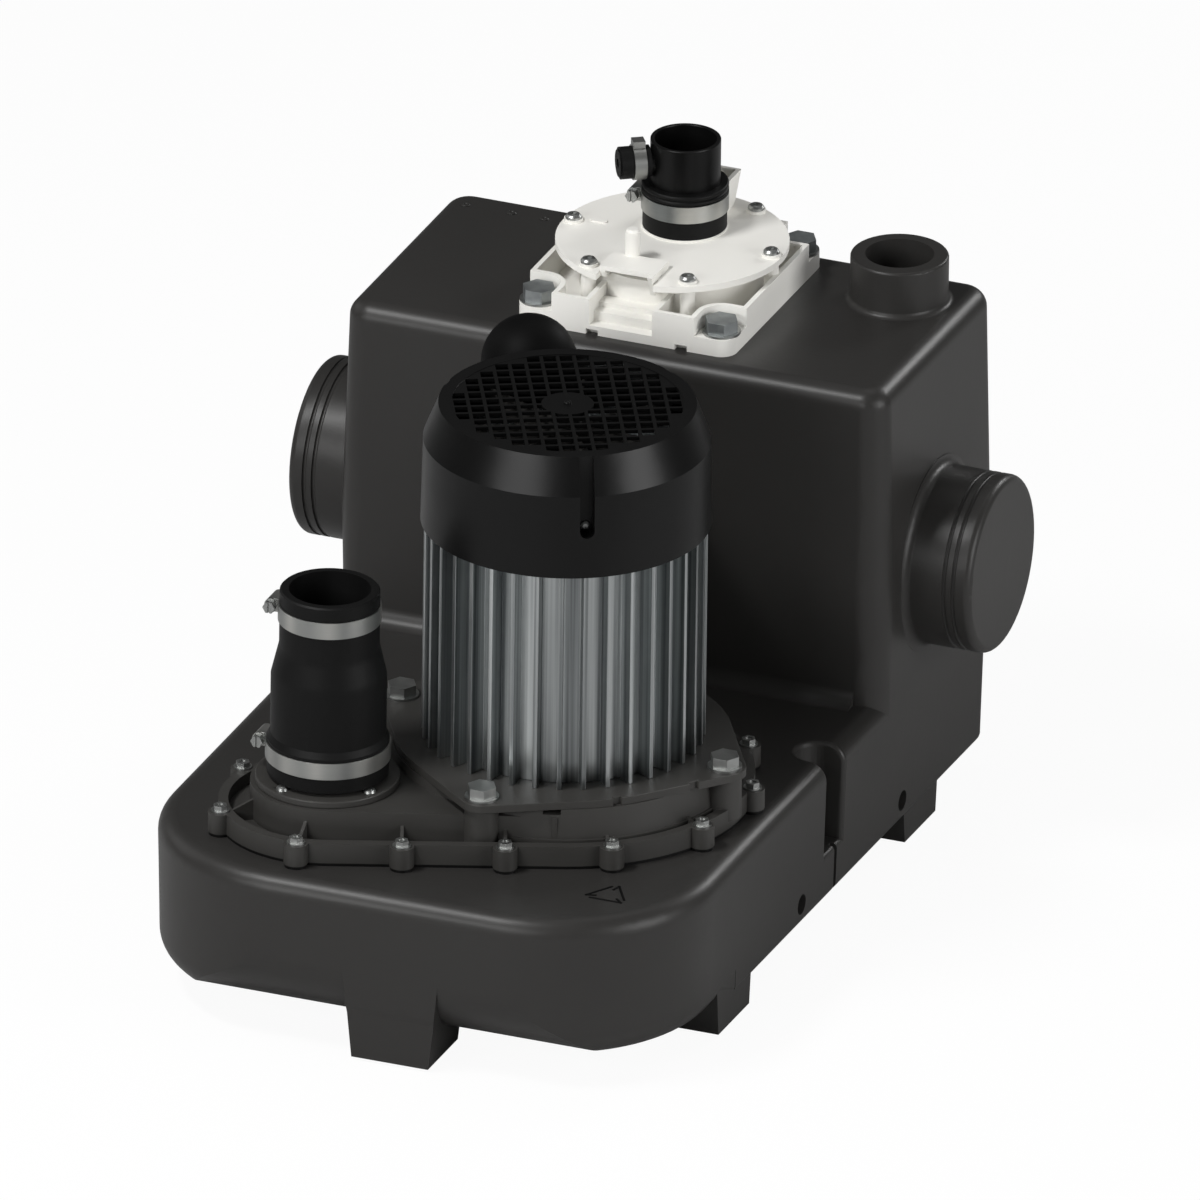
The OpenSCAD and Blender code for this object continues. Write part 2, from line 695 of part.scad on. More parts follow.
module outlet_sleeve() {
    shoulder = sleeve_z + 0.53 * sleeve_h;
    neck = sleeve_z + 0.70 * sleeve_h;
    rubber() at_outlet() rotate_extrude() polygon([
        [stub_r + fit, sleeve_z], [sleeve_low_r + clamp_swell, sleeve_z], [sleeve_low_r + clamp_swell, low_clamp_z + clamp_w + 2],
        [sleeve_low_r, low_clamp_z + clamp_w + 6], [sleeve_low_r, shoulder], [sleeve_r, neck], [sleeve_r, sleeve_top - 1],
        [sleeve_r - 1, sleeve_top], [sleeve_bore_r, sleeve_top], [sleeve_bore_r, neck - 2],
        [stub_r + 1.3, neck - 12], [stub_r + 1.3, seat_z - 12], [stub_r + fit, seat_z - 14]]);
}
// Hose clamp: a band with the worm's housing on a saddle at its left, and the worm's screw
worm_out = 4.9;
module hose_clamp(r, w) {
    difference() {
        union() {
            ring(r + band_t, r + fit, w);
            rotate(180) {
                translate([r + 0.5, -6, 1]) cube([worm_out - 0.5, 12, w - 2]);
                translate([r + worm_out, -7.5, w / 2]) rotate([-90, 0, 0]) cylinder(r = 4.4, h = 15);
            }
        }
        rotate(180) translate([r + worm_out, -9, w / 2]) rotate([-90, 0, 0]) cylinder(r = 2.4, h = 18, $fn = 32);
    }
}
module worm_screw(r, w) {
    rotate(180) translate([r + worm_out, 0, w / 2]) rotate([-90, 0, 0]) {
        translate([0, 0, -9]) cylinder(r = 2.3, h = 18, $fn = 32);
        difference() {
            translate([0, 0, 7.7]) cylinder(r = 4, h = 4, $fn = 6);
            translate([-0.6, -5, 10.7]) cube([1.2, 10, 2]);
        }
    }
}
module upper_clamp() { bright() at_outlet() translate([0, 0, high_clamp_z]) hose_clamp(sleeve_r, clamp_w); }
module lower_clamp() { bright() at_outlet() translate([0, 0, low_clamp_z]) hose_clamp(sleeve_low_r + clamp_swell, clamp_w); }
module clamp_screws() {
    steel() {
        at_outlet() translate([0, 0, high_clamp_z]) worm_screw(sleeve_r, clamp_w);
        at_outlet() translate([0, 0, low_clamp_z]) worm_screw(sleeve_low_r + clamp_swell, clamp_w);
        at_vent() translate([0, 0, vent_clamp_z]) worm_screw(vent_sleeve_r, clamp_w);
    }
}

// Motor, from the drum upwards
// Outline of the lower shield: a disc with four lugs that run into it along tangents
function shield_lean() = acos((shield_r - lug_r) / bolt_circle_r);
module shield_outline() {
    circle(shield_r, $fn = 144);
    for (p = lug_points()) translate(p) circle(lug_r);
    for (i = [0:3], m = [-1, 1]) {
        lug = lug_points()[i];
        a = bolt_turn + 90 * i + m * shield_lean();
        polygon([lug * 0.8, polar(shield_r - nip, a), lug + polar(lug_r - nip, a), lug]);
    }
}
module lower_shield() {
    hub_r = bearing_r + 6;
    black() at_motor() difference() {
        union() {
            translate([0, 0, drum_z]) {
                linear_extrude(shield_t) shield_outline();
                cylinder(r = hub_r, h = lower_bearing_z - drum_z + bearing_t + 1);
                cylinder(r = core_r - fit, h = shield_t + 12);
            }
        }
        translate([0, 0, drum_z + shield_t + 2]) ring(core_r - 6, hub_r, 20);
        translate([0, 0, lower_bearing_z]) cylinder(r = bearing_r + run, h = bearing_t + 2);
        translate([0, 0, drum_z - 1]) {
            cylinder(r = shaft_r + 1.5, h = 30);
            for (p = lug_points()) translate([p.x, p.y, 0]) cylinder(r = bolt_r + 0.5, h = shield_t + 2);
            rotate(bolt_turn - 44.5) translate([shield_r - 2.5, -2.75, 0]) cube([9, 5.5, shield_t + 2]);
            rotate(bolt_turn - shield_lean()) translate([shield_r - 2.5, shield_r * tan(17.5), 0])
                cube([9, 6, shield_t + 2]);
        }
    }
}
module shield_bolts() {
    steel() at_motor() for (p = lug_points()) translate([p.x, p.y, drum_z + shield_t + washer_t]) {
        translate([0, 0, -shield_t - washer_t - 14]) cylinder(r = bolt_r, h = shield_t + washer_t + 15);
        cylinder(r = bolt_head_r, h = bolt_head_h, $fn = 6);
    }
}
module shield_washers() {
    bright() at_motor() for (p = lug_points())
        translate([p.x, p.y, drum_z + shield_t]) ring(lug_boss_r, bolt_r + 0.3, washer_t);
}
module bearing(z) {
    steel() at_motor() translate([0, 0, z]) difference() {
        ring(bearing_r, shaft_r + run, bearing_t);
        for (h = [-1, bearing_t - 0.8]) translate([0, 0, h]) ring(bearing_r - 3.5, shaft_r + 3.5, 1.8);
    }
}
module lower_bearing() { bearing(lower_bearing_z); }
module upper_bearing() { bearing(upper_bearing_z); }
fin_w = 2.8;
module motor_frame() {
    alloy() at_motor() translate([0, 0, frame_z]) linear_extrude(frame_h) difference() {
        union() {
            circle(core_r + frame_wall);
            for (i = [0:fin_n - 1]) rotate(i * 360 / fin_n) translate([core_r + frame_wall - 1, -fin_w / 2])
                square([fin_d + 1, fin_w]);
        }
        circle(core_r);
    }
}
stator_slots = 24;
module stator_core() {
    steel() at_motor() translate([0, 0, core_z]) linear_extrude(core_h) difference() {
        circle(core_r - run);
        circle(rotor_r + air_gap);
        for (i = [0:stator_slots - 1]) rotate(i * 360 / stator_slots)
            translate([rotor_r + 3, -2]) square([12, 4]);
    }
}
module stator_windings() {
    copper() at_motor() for (z = [core_z - coil_h, core_z + core_h]) translate([0, 0, z]) rotate_extrude()
        polygon([[rotor_r + 3, 0], [rotor_r + 17, 0], [rotor_r + 19, 4], [rotor_r + 19, coil_h - 4],
            [rotor_r + 16, coil_h], [rotor_r + 5, coil_h], [rotor_r + 3, coil_h - 3]]);
}
module upper_shield() {
    alloy() at_motor() difference() {
        union() {
            translate([0, 0, frame_top]) cylinder(r = core_r + frame_wall, h = upper_shield_h);
            translate([0, 0, frame_top - 4]) cylinder(r = core_r - fit, h = 5);
        }
        translate([0, 0, frame_top - 5]) cylinder(r = core_r - 8, h = 6);
        translate([0, 0, frame_top - 6]) cylinder(r = shaft_r + 1.5, h = upper_shield_h + 10);
        translate([0, 0, frame_top + 1]) cylinder(r = bearing_r + run, h = bearing_t + 1);
        translate([0, 0, frame_top + 8]) ring(core_r - 6, bearing_r + 7, upper_shield_h);
        for (i = [0:2]) rotate(120 * i - 60) translate([recess_r - 14, 0, cover_screw_z])
            rotate([0, 90, 0]) cylinder(r = 1.9, h = 16, $fn = 24);
    }
}
grille_turn = 27;
grille_rim = 8;
grille_hub = 16;
recess_w = 9;
chamfer = 10;
slope_h = 23;
// Outline of the fan cover, drawn in by the given amount
module cover_profile(shrink) {
    r = fan_cover_r - shrink;
    polygon([[0, fan_cover_z + shrink], [r, fan_cover_z + shrink], [r - 1, fan_cover_top - slope_h],
        [r - chamfer, fan_cover_top - shrink], [0, fan_cover_top - shrink]]);
}
module fan_cover() {
    r = fan_cover_r;
    t = fan_cover_t;
    rim = r - chamfer - grille_rim;
    shelf = fan_cover_top - slope_h;
    black() at_motor() difference() {
        union() {
            rotate_extrude() polygon([[r - t, fan_cover_z], [r, fan_cover_z], [r - 1, shelf], [r - chamfer, fan_cover_top],
                [rim, fan_cover_top], [rim, fan_cover_top - 2.5], [r - chamfer - t, fan_cover_top - 2.5], [r - 1 - t, shelf]]);
            translate([0, 0, fan_cover_top - 2.5]) linear_extrude(2.2) grille();
            intersection() {
                rotate_extrude() cover_profile(0.4);
                for (i = [0:2]) rotate(120 * i - 60)
                    translate([recess_r - t, -recess_w / 2 - t, cover_screw_z - recess_w / 2 - t])
                        cube([20, recess_w + 2 * t, 80]);
            }
        }
        for (i = [0:2]) rotate(120 * i - 60) {
            translate([recess_r, 0, cover_screw_z]) rotate([0, 90, 0]) cylinder(r = recess_w / 2, h = 20, $fn = 32);
            translate([recess_r, -recess_w / 2 + nip, cover_screw_z]) cube([20, recess_w - 2 * nip, 80]);
            translate([recess_r - 5, 0, cover_screw_z]) rotate([0, 90, 0]) cylinder(r = 2.1, h = 6, $fn = 24);
        }
    }
}
module grille() {
    disc = fan_cover_r - 10 - grille_rim + 1;
    n = ceil(disc / grille_pitch);
    difference() {
        circle(disc);
        difference() {
            rotate(grille_turn) for (i = [-n:n - 1], j = [-n:n - 1])
                if (norm([i + 0.5, j + 0.5]) * grille_pitch < disc - grille_pitch * 0.4)
                    translate([i * grille_pitch + grille_rib / 2, j * grille_pitch + grille_rib / 2])
                        square(grille_pitch - grille_rib);
            circle(grille_hub);
        }
    }
}
module fan_cover_screws() {
    steel() at_motor() for (i = [0:2]) rotate(120 * i - 60) translate([recess_r, 0, cover_screw_z]) rotate([0, 90, 0]) {
        translate([0, 0, -11]) cylinder(r = 1.8, h = 12, $fn = 24);
        rotate_extrude() polygon([[0, 0], [3.2, 0], [2.8, 1.2], [1.6, 1.8], [0, 1.9]]);
    }
}

// Terminal box behind the motor, with the run capacitor standing on it
box_w = 104;
box_l = 62;
box_h = 74;
box_z = frame_z + 42;
cap_r = 26;
cap_at = [fin_r + 31.5, 23.5];
// The box points rearwards, and turns aside where the tall block leaves its far corner no room
box_far = norm([fin_r + box_l + 4, box_w / 2]);
box_room = block_y - motor_y - 18;
box_dir = max(111.5, 180 - asin(min(1, box_room / box_far)) + atan(box_w / 2 / (fin_r + box_l + 4)));
module at_box() { at_motor() rotate(box_dir) children(); }
module terminal_box() {
    black() at_box() difference() {
        union() {
            translate([fin_r - 2, -box_w / 2, box_z]) cube([box_l, box_w, box_h]);
            translate([cap_at.x, cap_at.y, box_z + box_h - 1]) cylinder(r = cap_r + 2.3, h = 13);
        }
        translate([0, 0, box_z - 1]) cylinder(r = fin_r + 0.2, h = box_h + 2);
        translate([fin_r + 8, -box_w / 2 + 3, box_z + 3]) cube([box_l, box_w - 6, box_h - 20]);
        translate([cap_at.x, cap_at.y, box_z + box_h - 8]) cylinder(r = cap_r + fit, h = 30);
        translate([fin_r + 28, -box_w / 2 + 4, box_z + 28]) rotate([90, 0, 0]) cylinder(r = 8, h = 8);
        for (y = [-1, 1], z = [8, box_h - 8]) translate([fin_r + box_l - 14, y * (box_w / 2 - 1.5), box_z + z])
            rotate([0, 90, 0]) cylinder(r = 1, h = 13, $fn = 24);
    }
}
module terminal_lid() {
    black() at_box() translate([fin_r - 2 + box_l, 0, box_z]) difference() {
        union() {
            translate([0, -box_w / 2, 0]) cube([4, box_w, box_h]);
            for (y = [-1, 1], z = [8, box_h - 8]) translate([0, y * (box_w / 2 - 1), z])
                rotate([0, 90, 0]) cylinder(r = 5, h = 4, $fn = 32);
        }
        for (y = [-1, 1], z = [8, box_h - 8]) translate([-1, y * (box_w / 2 - 1.5), z])
            rotate([0, 90, 0]) cylinder(r = 1.1, h = 6, $fn = 24);
    }
}
module lid_fixings() {
    steel() at_box() translate([fin_r - 2 + box_l, 0, box_z])
        for (y = [-1, 1], z = [8, box_h - 8]) translate([0, y * (box_w / 2 - 1.5), z]) rotate([0, 90, 0]) {
            translate([0, 0, -8]) cylinder(r = 0.95, h = 13, $fn = 24);
            translate([0, 0, 4]) cylinder(r = 2.6, h = 1.6, $fn = 32);
        }
}
module cable_gland() {
    black() at_box() translate([fin_r + 28, -box_w / 2, box_z + 28]) rotate([90, 0, 0]) difference() {
        union() {
            translate([0, 0, -3]) cylinder(r = 7.9, h = 8);
            cylinder(r = 12, h = 5, $fn = 6);
            translate([0, 0, 4]) cylinder(r = 10.5, h = 12);
            translate([0, 0, 16]) cylinder(r1 = 10.5, r2 = 7, h = 5);
        }
        translate([0, 0, -4]) cylinder(r = 4.5, h = 30);
    }
}
cap_h = 80;
cap_base = box_z + box_h - 8;
dome_r = 29.3;
module capacitor() {
    bright() at_box() translate([cap_at.x, cap_at.y, cap_base]) cylinder(r = cap_r, h = cap_h);
}
module capacitor_cap() {
    low = box_z + box_h + 12;
    black() at_box() translate([cap_at.x, cap_at.y, 0]) difference() {
        union() {
            translate([0, 0, low]) cylinder(r = dome_r, h = cap_base + cap_h + 4 - low);
            translate([0, 0, cap_base + cap_h + 4]) sphere(dome_r);
        }
        translate([0, 0, low - 1]) cylinder(r = cap_r + fit, h = cap_base + cap_h + 1.5 - low);
        translate([0, 0, low - 60]) cylinder(r = dome_r + 5, h = 60);
    }
}

// Rotating group
module shaft() {
    steel() at_motor() difference() {
        union() {
            translate([0, 0, nut_z - 4]) cylinder(r = 6, h = cutter_z - nut_z + 4 + eps);
            translate([0, 0, cutter_z]) cylinder(r = shaft_r, h = shaft_top - cutter_z);
            translate([0, 0, lower_bearing_z + bearing_t + 2])
                cylinder(r = shaft_r + 3, h = upper_bearing_z - lower_bearing_z - bearing_t - 4);
        }
        translate([0, 0, shaft_top - 2]) cylinder(r = 3, h = 3);
    }
}
module rotor_core() {
    alloy() at_motor() translate([0, 0, core_z]) ring(rotor_r, shaft_r + 3 + run, core_h);
}
blade_n = 7;
module cooling_fan() {
    black() at_motor() translate([0, 0, fan_z]) {
        ring(shaft_r + 7, shaft_r + run, fan_h);
        ring(34, shaft_r + 3, 2.5);
        for (i = [0:blade_n - 1]) rotate(i * 360 / blade_n)
            translate([shaft_r + 4, -1.25, 0.5]) cube([fin_r - 21 - shaft_r, 2.5, fan_h - 1]);
    }
}
vane_n = 5;
module impeller() {
    steel() at_motor() translate([0, 0, impeller_z]) {
        translate([0, 0, 10]) ring(impeller_r, shaft_r + run, 4);
        ring(shaft_r + 6, shaft_r + run, 14);
        for (i = [0:vane_n - 1]) rotate(i * 360 / vane_n) intersection() {
            translate([0, 30, 0]) ring(46, 42.5, 11);
            translate([0, -20, 0]) cube([impeller_r, 50, 11]);
            cylinder(r = impeller_r, h = 11);
        }
    }
}
module cutter_blade() {
    steel() at_motor() translate([0, 0, cutter_z - 5]) difference() {
        union() {
            cylinder(r = 13, h = 5);
            for (i = [0:1]) rotate(180 * i) linear_extrude(5)
                polygon([[0, -8], [basket_r - basket_t - 4, -5], [basket_r - basket_t - 2.5, 0],
                    [basket_r - basket_t - 3.5, 6], [10, 8], [0, 8]]);
        }
        translate([0, 0, -1]) cylinder(r = 6 + run, h = 7);
    }
}
module blade_nut() {
    steel() at_motor() translate([0, 0, nut_z - 3]) difference() {
        cylinder(r = 10.5, h = cutter_z - 5 - nut_z + 3, $fn = 6);
        translate([0, 0, -1]) cylinder(r = 6 + run, h = 12);
    }
}

// Level sensor: an open tray with corner pockets for its bolts, and a round chamber under the lid
module sensor_gasket() {
    rubber() at_lid() translate([0, 0, block_z]) ring(chamber_out_r - 1, hole_sensor_r + 1, 1.5);
}
module tray_outline(inset) {
    w = sensor_w / 2 - inset;
    d = sensor_d / 2 - inset;
    r = 10 - min(inset, 6);
    square([2 * w, 2 * (d - r)], center = true);
    square([2 * (w - r), 2 * d], center = true);
    for (x = [-w + r, w - r], y = [-d + r, d - r]) translate([x, y]) circle(r);
}
pocket_r = 13;
module pocket_shape(r) {
    for (x = [-1, 1], y = [-1, 1]) translate([x * lug_x, y * lug_y]) {
        circle(r);
        translate([x > 0 ? 0 : -20, -r]) square([20, 2 * r]);
        translate([-r, y > 0 ? 0 : -20]) square([2 * r, 20]);
    }
}
channel_x = 22;
module sensor_base() {
    floor_z = 5;
    white() at_sensor() translate([0, 0, block_z]) difference() {
        union() {
            linear_extrude(floor_z) tray_outline(0);
            linear_extrude(sensor_h) difference() {
                tray_outline(0);
                tray_outline(sensor_wall);
                pocket_shape(pocket_r);
            }
            linear_extrude(sensor_h) intersection() {
                tray_outline(0);
                difference() {
                    pocket_shape(pocket_r + sensor_wall);
                    pocket_shape(pocket_r);
                }
            }
            linear_extrude(pocket_z - block_z) intersection() {
                tray_outline(0);
                pocket_shape(pocket_r + 1);
            }
            translate([0, lid_in_y, 0]) cylinder(r = chamber_out_r, h = lid_h - lid_t);
            for (p = ring_points(lid_screw_r, 6, 0)) translate([p.x, p.y + lid_in_y, 0])
                cylinder(r = 4.6, h = lid_h - lid_t);
            translate([-channel_x - 3, -sensor_d / 2, 0]) cube([2 * channel_x + 3, 26, 15]);
            for (x = [-channel_x - 3, channel_x - 3]) translate([x, -sensor_d / 2 + 1, 0]) cube([3, 28, sensor_h]);
        }
        translate([0, lid_in_y, -1]) cylinder(r = hole_sensor_r, h = lid_h + 2);
        translate([0, lid_in_y, -1]) cylinder(r = chamber_out_r - 1 + fit, h = 2.5);
        translate([-channel_x, -sensor_d / 2 - 1, 6]) cube([2 * channel_x - 3, 9, 40]);
        translate([-channel_x, -sensor_d / 2 - 1, 12]) cube([2 * channel_x - 3, 17, 40]);
        for (x = [-24, 34]) translate([x, -sensor_d / 2 - 1, -1]) cube([8, 5, 4.5]);
        for (x = [-lug_x, lug_x], y = [-lug_y, lug_y])
            translate([x, y, -1]) cylinder(r = bolt_r + fit, h = 20);
        for (p = ring_points(lid_screw_r, 6, 0)) translate([p.x, p.y + lid_in_y, lid_h - lid_t - 9])
            cylinder(r = 1.7, h = 12, $fn = 24);
    }
}
module sensor_bolts() {
    steel() at_sensor() for (x = [-lug_x, lug_x], y = [-lug_y, lug_y]) translate([x, y, pocket_z + washer_t]) {
        translate([0, 0, block_z - 14 - pocket_z - washer_t]) cylinder(r = bolt_r, h = pocket_z - block_z + washer_t + 15);
        cylinder(r = bolt_head_r + 1.3, h = bolt_head_h + 1, $fn = 6);
    }
}
module sensor_washers() {
    bright() at_sensor() for (x = [-lug_x, lug_x], y = [-lug_y, lug_y])
        translate([x, y, pocket_z]) ring(11.7, bolt_r + 0.3, washer_t);
}
diaphragm_z = block_z + 6;
module diaphragm() {
    rubber() at_lid() translate([0, 0, diaphragm_z]) rotate_extrude()
        polygon([[0, 0], [26, 0], [30, -3], [36, -3], [40, 0], [hole_sensor_r - fit, 0], [hole_sensor_r - fit, 2],
            [39, 2], [35.5, -1], [30.5, -1], [27, 2], [0, 2]]);
}
plunger_r = 3;
travel = 3;
module plunger() {
    white() at_lid() translate([0, 0, diaphragm_z + 2 + gap]) {
        cylinder(r = 12, h = 2);
        cylinder(r = plunger_r, h = 6);
    }
}
module micro_switch() {
    switch_z = diaphragm_z + 2 + gap + 6 + travel + gap;
    black() at_lid() translate([0, 0, switch_z]) difference() {
        translate([-14, -8, 0]) cube([28, 16, lid_z - lid_t - switch_z]);
        for (x = [-9, 9]) translate([x, 0, 6]) rotate([90, 0, 0]) cylinder(r = 1.6, h = 20, center = true, $fn = 24);
    }
}
// Open box behind the vent, wider at its top
module rear_box(wall) {
    translate([0, 38 + wall, lid_t - 1 + 2 * wall]) rotate([90, 0, 0]) translate([0, 0, 2 * wall - 21])
        linear_extrude(21 - 2 * wall) polygon([[-2 + wall, 0], [16.5 - wall, 0], [21 - wall, 26], [-2 + wall, 26]]);
}
module sensor_lid() {
    white() at_lid() translate([0, 0, lid_z - lid_t]) difference() {
        union() {
            cylinder(r = lid_r, h = lid_t);
            for (p = ring_points(lid_screw_r, 6, 0)) translate([p.x, p.y, 0]) cylinder(r = 5.8, h = lid_t + 2);
            translate([-10, -40, lid_t - 1]) cylinder(r = 4.6, h = 21, $fn = 48);
            translate([-10, -40, lid_t + 19]) cylinder(r1 = 4.6, r2 = 3.2, h = 2.5, $fn = 48);
            translate([-22, -lid_r + 8, 0]) cube([36, 22, lid_t + 4.5]);
            translate([-50, 5, lid_t - 1]) for (x = [-3, 3]) translate([x, 0, 0]) cylinder(r = 2.4, h = 2, $fn = 32);
            translate([-53, 2.7, lid_t - 1]) cube([6, 4.6, 2]);
            difference() {
                rear_box(0);
                difference() {
                    rear_box(2);
                    translate([0, vent_y, 0]) cylinder(r = vent_sleeve_r + 3.6, h = 60);
                }
                translate([0, vent_y, lid_t + 1]) cylinder(r = vent_sleeve_r + 1.6, h = 60);
            }
            translate([0, vent_y, lid_t - 1]) cylinder(r = vent_sleeve_r + 0.5, h = 2.5);
            translate([0, vent_y, 0]) cylinder(r = vent_neck_r, h = lid_t + 16);
        }
        translate([0, vent_y, -1]) cylinder(r = vent_r - 3, h = lid_t + 20);
        translate([-23, -lid_r - 1, -1]) cube([38, 12, lid_t + 1]);
        translate([-19, -lid_r + 6, -1]) cube([30, 22, lid_t + 2.5]);
        for (p = ring_points(lid_screw_r, 6, 0)) translate([p.x, p.y, -1]) cylinder(r = 1.8, h = lid_t + 4, $fn = 24);
    }
    white() at_lid() translate([14, -lid_r + 2, lid_z + 4.5]) rotate([0, 90, 180]) linear_extrude(3)
        polygon([[0, 0], [0, -12], [14, -12], [14, -6]]);
}
module lid_screws() {
    steel() at_lid() for (p = ring_points(lid_screw_r, 6, 0)) translate([p.x, p.y, lid_z + 2]) {
        translate([0, 0, -lid_t - 10]) cylinder(r = 1.6, h = lid_t + 11, $fn = 24);
        difference() {
            rotate_extrude() polygon([[0, 0], [5, 0], [4.9, 1.4], [3.9, 2.6], [2.6, 3], [0, 3]]);
            translate([0, 0, 1.6]) cylinder(r = 2.2, h = 2, $fn = 6);
        }
    }
}
// Pressure bell that hangs from the sensor into the tank
tube_h = 180;
module pressure_tube() {
    white() at_lid() translate([0, 0, block_z - tube_h]) difference() {
        union() {
            cylinder(r = tube_r, h = tube_h);
            translate([0, 0, tube_h]) cylinder(r = hole_sensor_r - fit, h = diaphragm_z - 3.3 - block_z);
            translate([0, 0, tube_h - 12]) cylinder(r1 = tube_r, r2 = hole_sensor_r - fit, h = 12);
        }
        translate([0, 0, -1]) cylinder(r = tube_r - tube_t, h = tube_h + 30);
    }
}

// Vent above the lid
vent_clamp_z = lid_z + 13;
module at_vent() { at_lid() translate([0, vent_y, 0]) children(); }
vent_pipe_z = lid_z + 17;
module vent_pipe() {
    black() at_vent() difference() {
        union() {
            translate([0, 0, vent_pipe_z]) cylinder(r = vent_r, h = vent_top - vent_pipe_z);
            translate([0, 0, stub_axis_z]) rotate(stub_turn) rotate([0, 90, 0]) {
                cylinder(r = stub_pipe_r, h = stub_end - 3);
            }
        }
        translate([0, 0, vent_pipe_z - 1]) cylinder(r = vent_r - 2.5, h = vent_top - vent_pipe_z + 2);
        translate([0, 0, stub_axis_z]) rotate(stub_turn) rotate([0, 90, 0]) cylinder(r = 5, h = stub_end);
    }
}
module vent_sleeve() {
    rubber() at_vent() rotate_extrude() difference() {
        union() {
            translate([vent_r + fit, lid_z + 1.5]) square([vent_sleeve_r - vent_r - fit, vent_sleeve_h]);
            for (z = [25.5, 29]) translate([vent_sleeve_r - 0.6, lid_z + z]) circle(1.5);
        }
        translate([0, lid_z]) square([vent_r + fit, 40]);
    }
}
module vent_clamp() { bright() at_vent() translate([0, 0, vent_clamp_z]) hose_clamp(vent_sleeve_r, clamp_w); }
module stub_cap() {
    rubber() at_vent() translate([0, 0, stub_axis_z]) rotate(stub_turn) rotate([0, 90, 0]) difference() {
        union() {
            translate([0, 0, vent_r + 1]) cylinder(r = 10, h = stub_end - vent_r - 2);
            translate([0, 0, stub_end - 2]) cylinder(r = 8.5, h = 2);
        }
        translate([0, 0, vent_r]) cylinder(r = stub_pipe_r + fit, h = stub_end - 3 - vent_r);
        translate([0, 0, stub_end - 4]) cylinder(r = 3, h = 6);
    }
}
module stub_clamp() {
    bright() at_vent() translate([0, 0, stub_axis_z]) rotate(stub_turn) rotate([0, 90, 0]) translate([0, 0, 25.7]) {
        ring(11, 10 + fit, 7.5);
        translate([-14.8, -3.8, 0]) cube([4.4, 7.6, 7.5]);
    }
}

tank();
cover_gasket();
casing_cover();
cover_screws();
volute_plate();
volute_screws();
strainer_basket();
shaft_seal();
outlet_flange();
flange_screws();
valve_seat();
flap_pin();
valve_flap();
outlet_sleeve();
upper_clamp();
lower_clamp();
clamp_screws();
lower_shield();
shield_bolts();
shield_washers();
lower_bearing();
motor_frame();
stator_core();
stator_windings();
upper_shield();
upper_bearing();
fan_cover();
fan_cover_screws();
terminal_box();
terminal_lid();
lid_fixings();
cable_gland();
capacitor();
capacitor_cap();
shaft();
rotor_core();
cooling_fan();
impeller();
cutter_blade();
blade_nut();
sensor_gasket();
sensor_base();
sensor_bolts();
sensor_washers();
diaphragm();
plunger();
micro_switch();
sensor_lid();
lid_screws();
pressure_tube();
vent_pipe();
vent_sleeve();
vent_clamp();
stub_cap();
stub_clamp();
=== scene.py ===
import json
import math
import bpy
import bmesh
from mathutils import Vector, Matrix

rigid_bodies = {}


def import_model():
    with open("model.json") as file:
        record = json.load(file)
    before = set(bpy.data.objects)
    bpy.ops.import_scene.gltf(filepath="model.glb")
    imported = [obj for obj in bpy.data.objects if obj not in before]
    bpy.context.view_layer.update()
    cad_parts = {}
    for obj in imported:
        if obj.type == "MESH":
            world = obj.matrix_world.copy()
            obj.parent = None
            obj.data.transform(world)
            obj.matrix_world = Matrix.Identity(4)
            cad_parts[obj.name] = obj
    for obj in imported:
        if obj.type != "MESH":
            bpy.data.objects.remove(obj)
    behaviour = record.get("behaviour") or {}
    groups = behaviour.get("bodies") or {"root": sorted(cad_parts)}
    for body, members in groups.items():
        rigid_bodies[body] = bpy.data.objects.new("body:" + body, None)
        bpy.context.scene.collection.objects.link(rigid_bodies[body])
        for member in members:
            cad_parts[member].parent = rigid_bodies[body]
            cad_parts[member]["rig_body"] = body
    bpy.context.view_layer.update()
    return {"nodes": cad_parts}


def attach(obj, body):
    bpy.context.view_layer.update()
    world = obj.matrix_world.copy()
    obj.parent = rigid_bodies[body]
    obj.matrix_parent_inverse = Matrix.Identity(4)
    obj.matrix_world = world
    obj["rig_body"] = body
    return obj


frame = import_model()
nodes = frame["nodes"]

# The tank's sizes, in millimetres and degrees, as the solid has them
WIDEST_Z = 181      # height at which the walls are widest; they lean in below it
WIDEST_X = 179.4    # half the width there
LEAN = 1.5
UNDER_Z = 19        # underside, above the feet
DECK_Z = 112
BLOCK_Z = 319
EDGE_R = 12         # rounding along the deck's edge
FRONT_Y = -282.1    # front wall at the widest height
CORNER_R = 105      # upright front corners, seen from above
CORNER_X = 74.4     # their axes, from the middle
BELLY_R = 18        # rounding below the walls, in front
HEEL_R = 5          # the same from the front side feet on
FOOT_X = 7          # middle of the front foot
FOOT_HALF = 25      # half its width on the ground
FOOT_SLANT = 4      # how much wider each of its sides gets up to the top of the rounding
NOTCH_Y = 22        # middle of the upright notch in each side wall
NOTCH_X = 164.9     # axis of its round inner end
NOTCH_R = 13.5      # radius of that end
NOTCH_HALF = 13.48  # from its middle to its flat walls
SILL_Z = 50         # its foot
SLOT_Y = 26         # middle of the narrow slot that goes on below it

# What the modifiers on the tank add
LARGE_R = 43        # rounding straight across the lower front edge
MOUTH_R = 3         # rounding round the mouths of the notches
CLEAR = 0.05        # how far a cut or a filling keeps off a face that it would else share

SHARP = math.radians(17)    # faces that meet at more than this meet in an edge


def srgb(text):
    """A colour written as six hex digits, as the shaders want it"""
    parts = [int(text[i:i + 2], 16) / 255 for i in (0, 2, 4)]
    return tuple(p / 12.92 if p <= 0.04045 else ((p + 0.055) / 1.055) ** 2.4 for p in parts) + (1.0,)


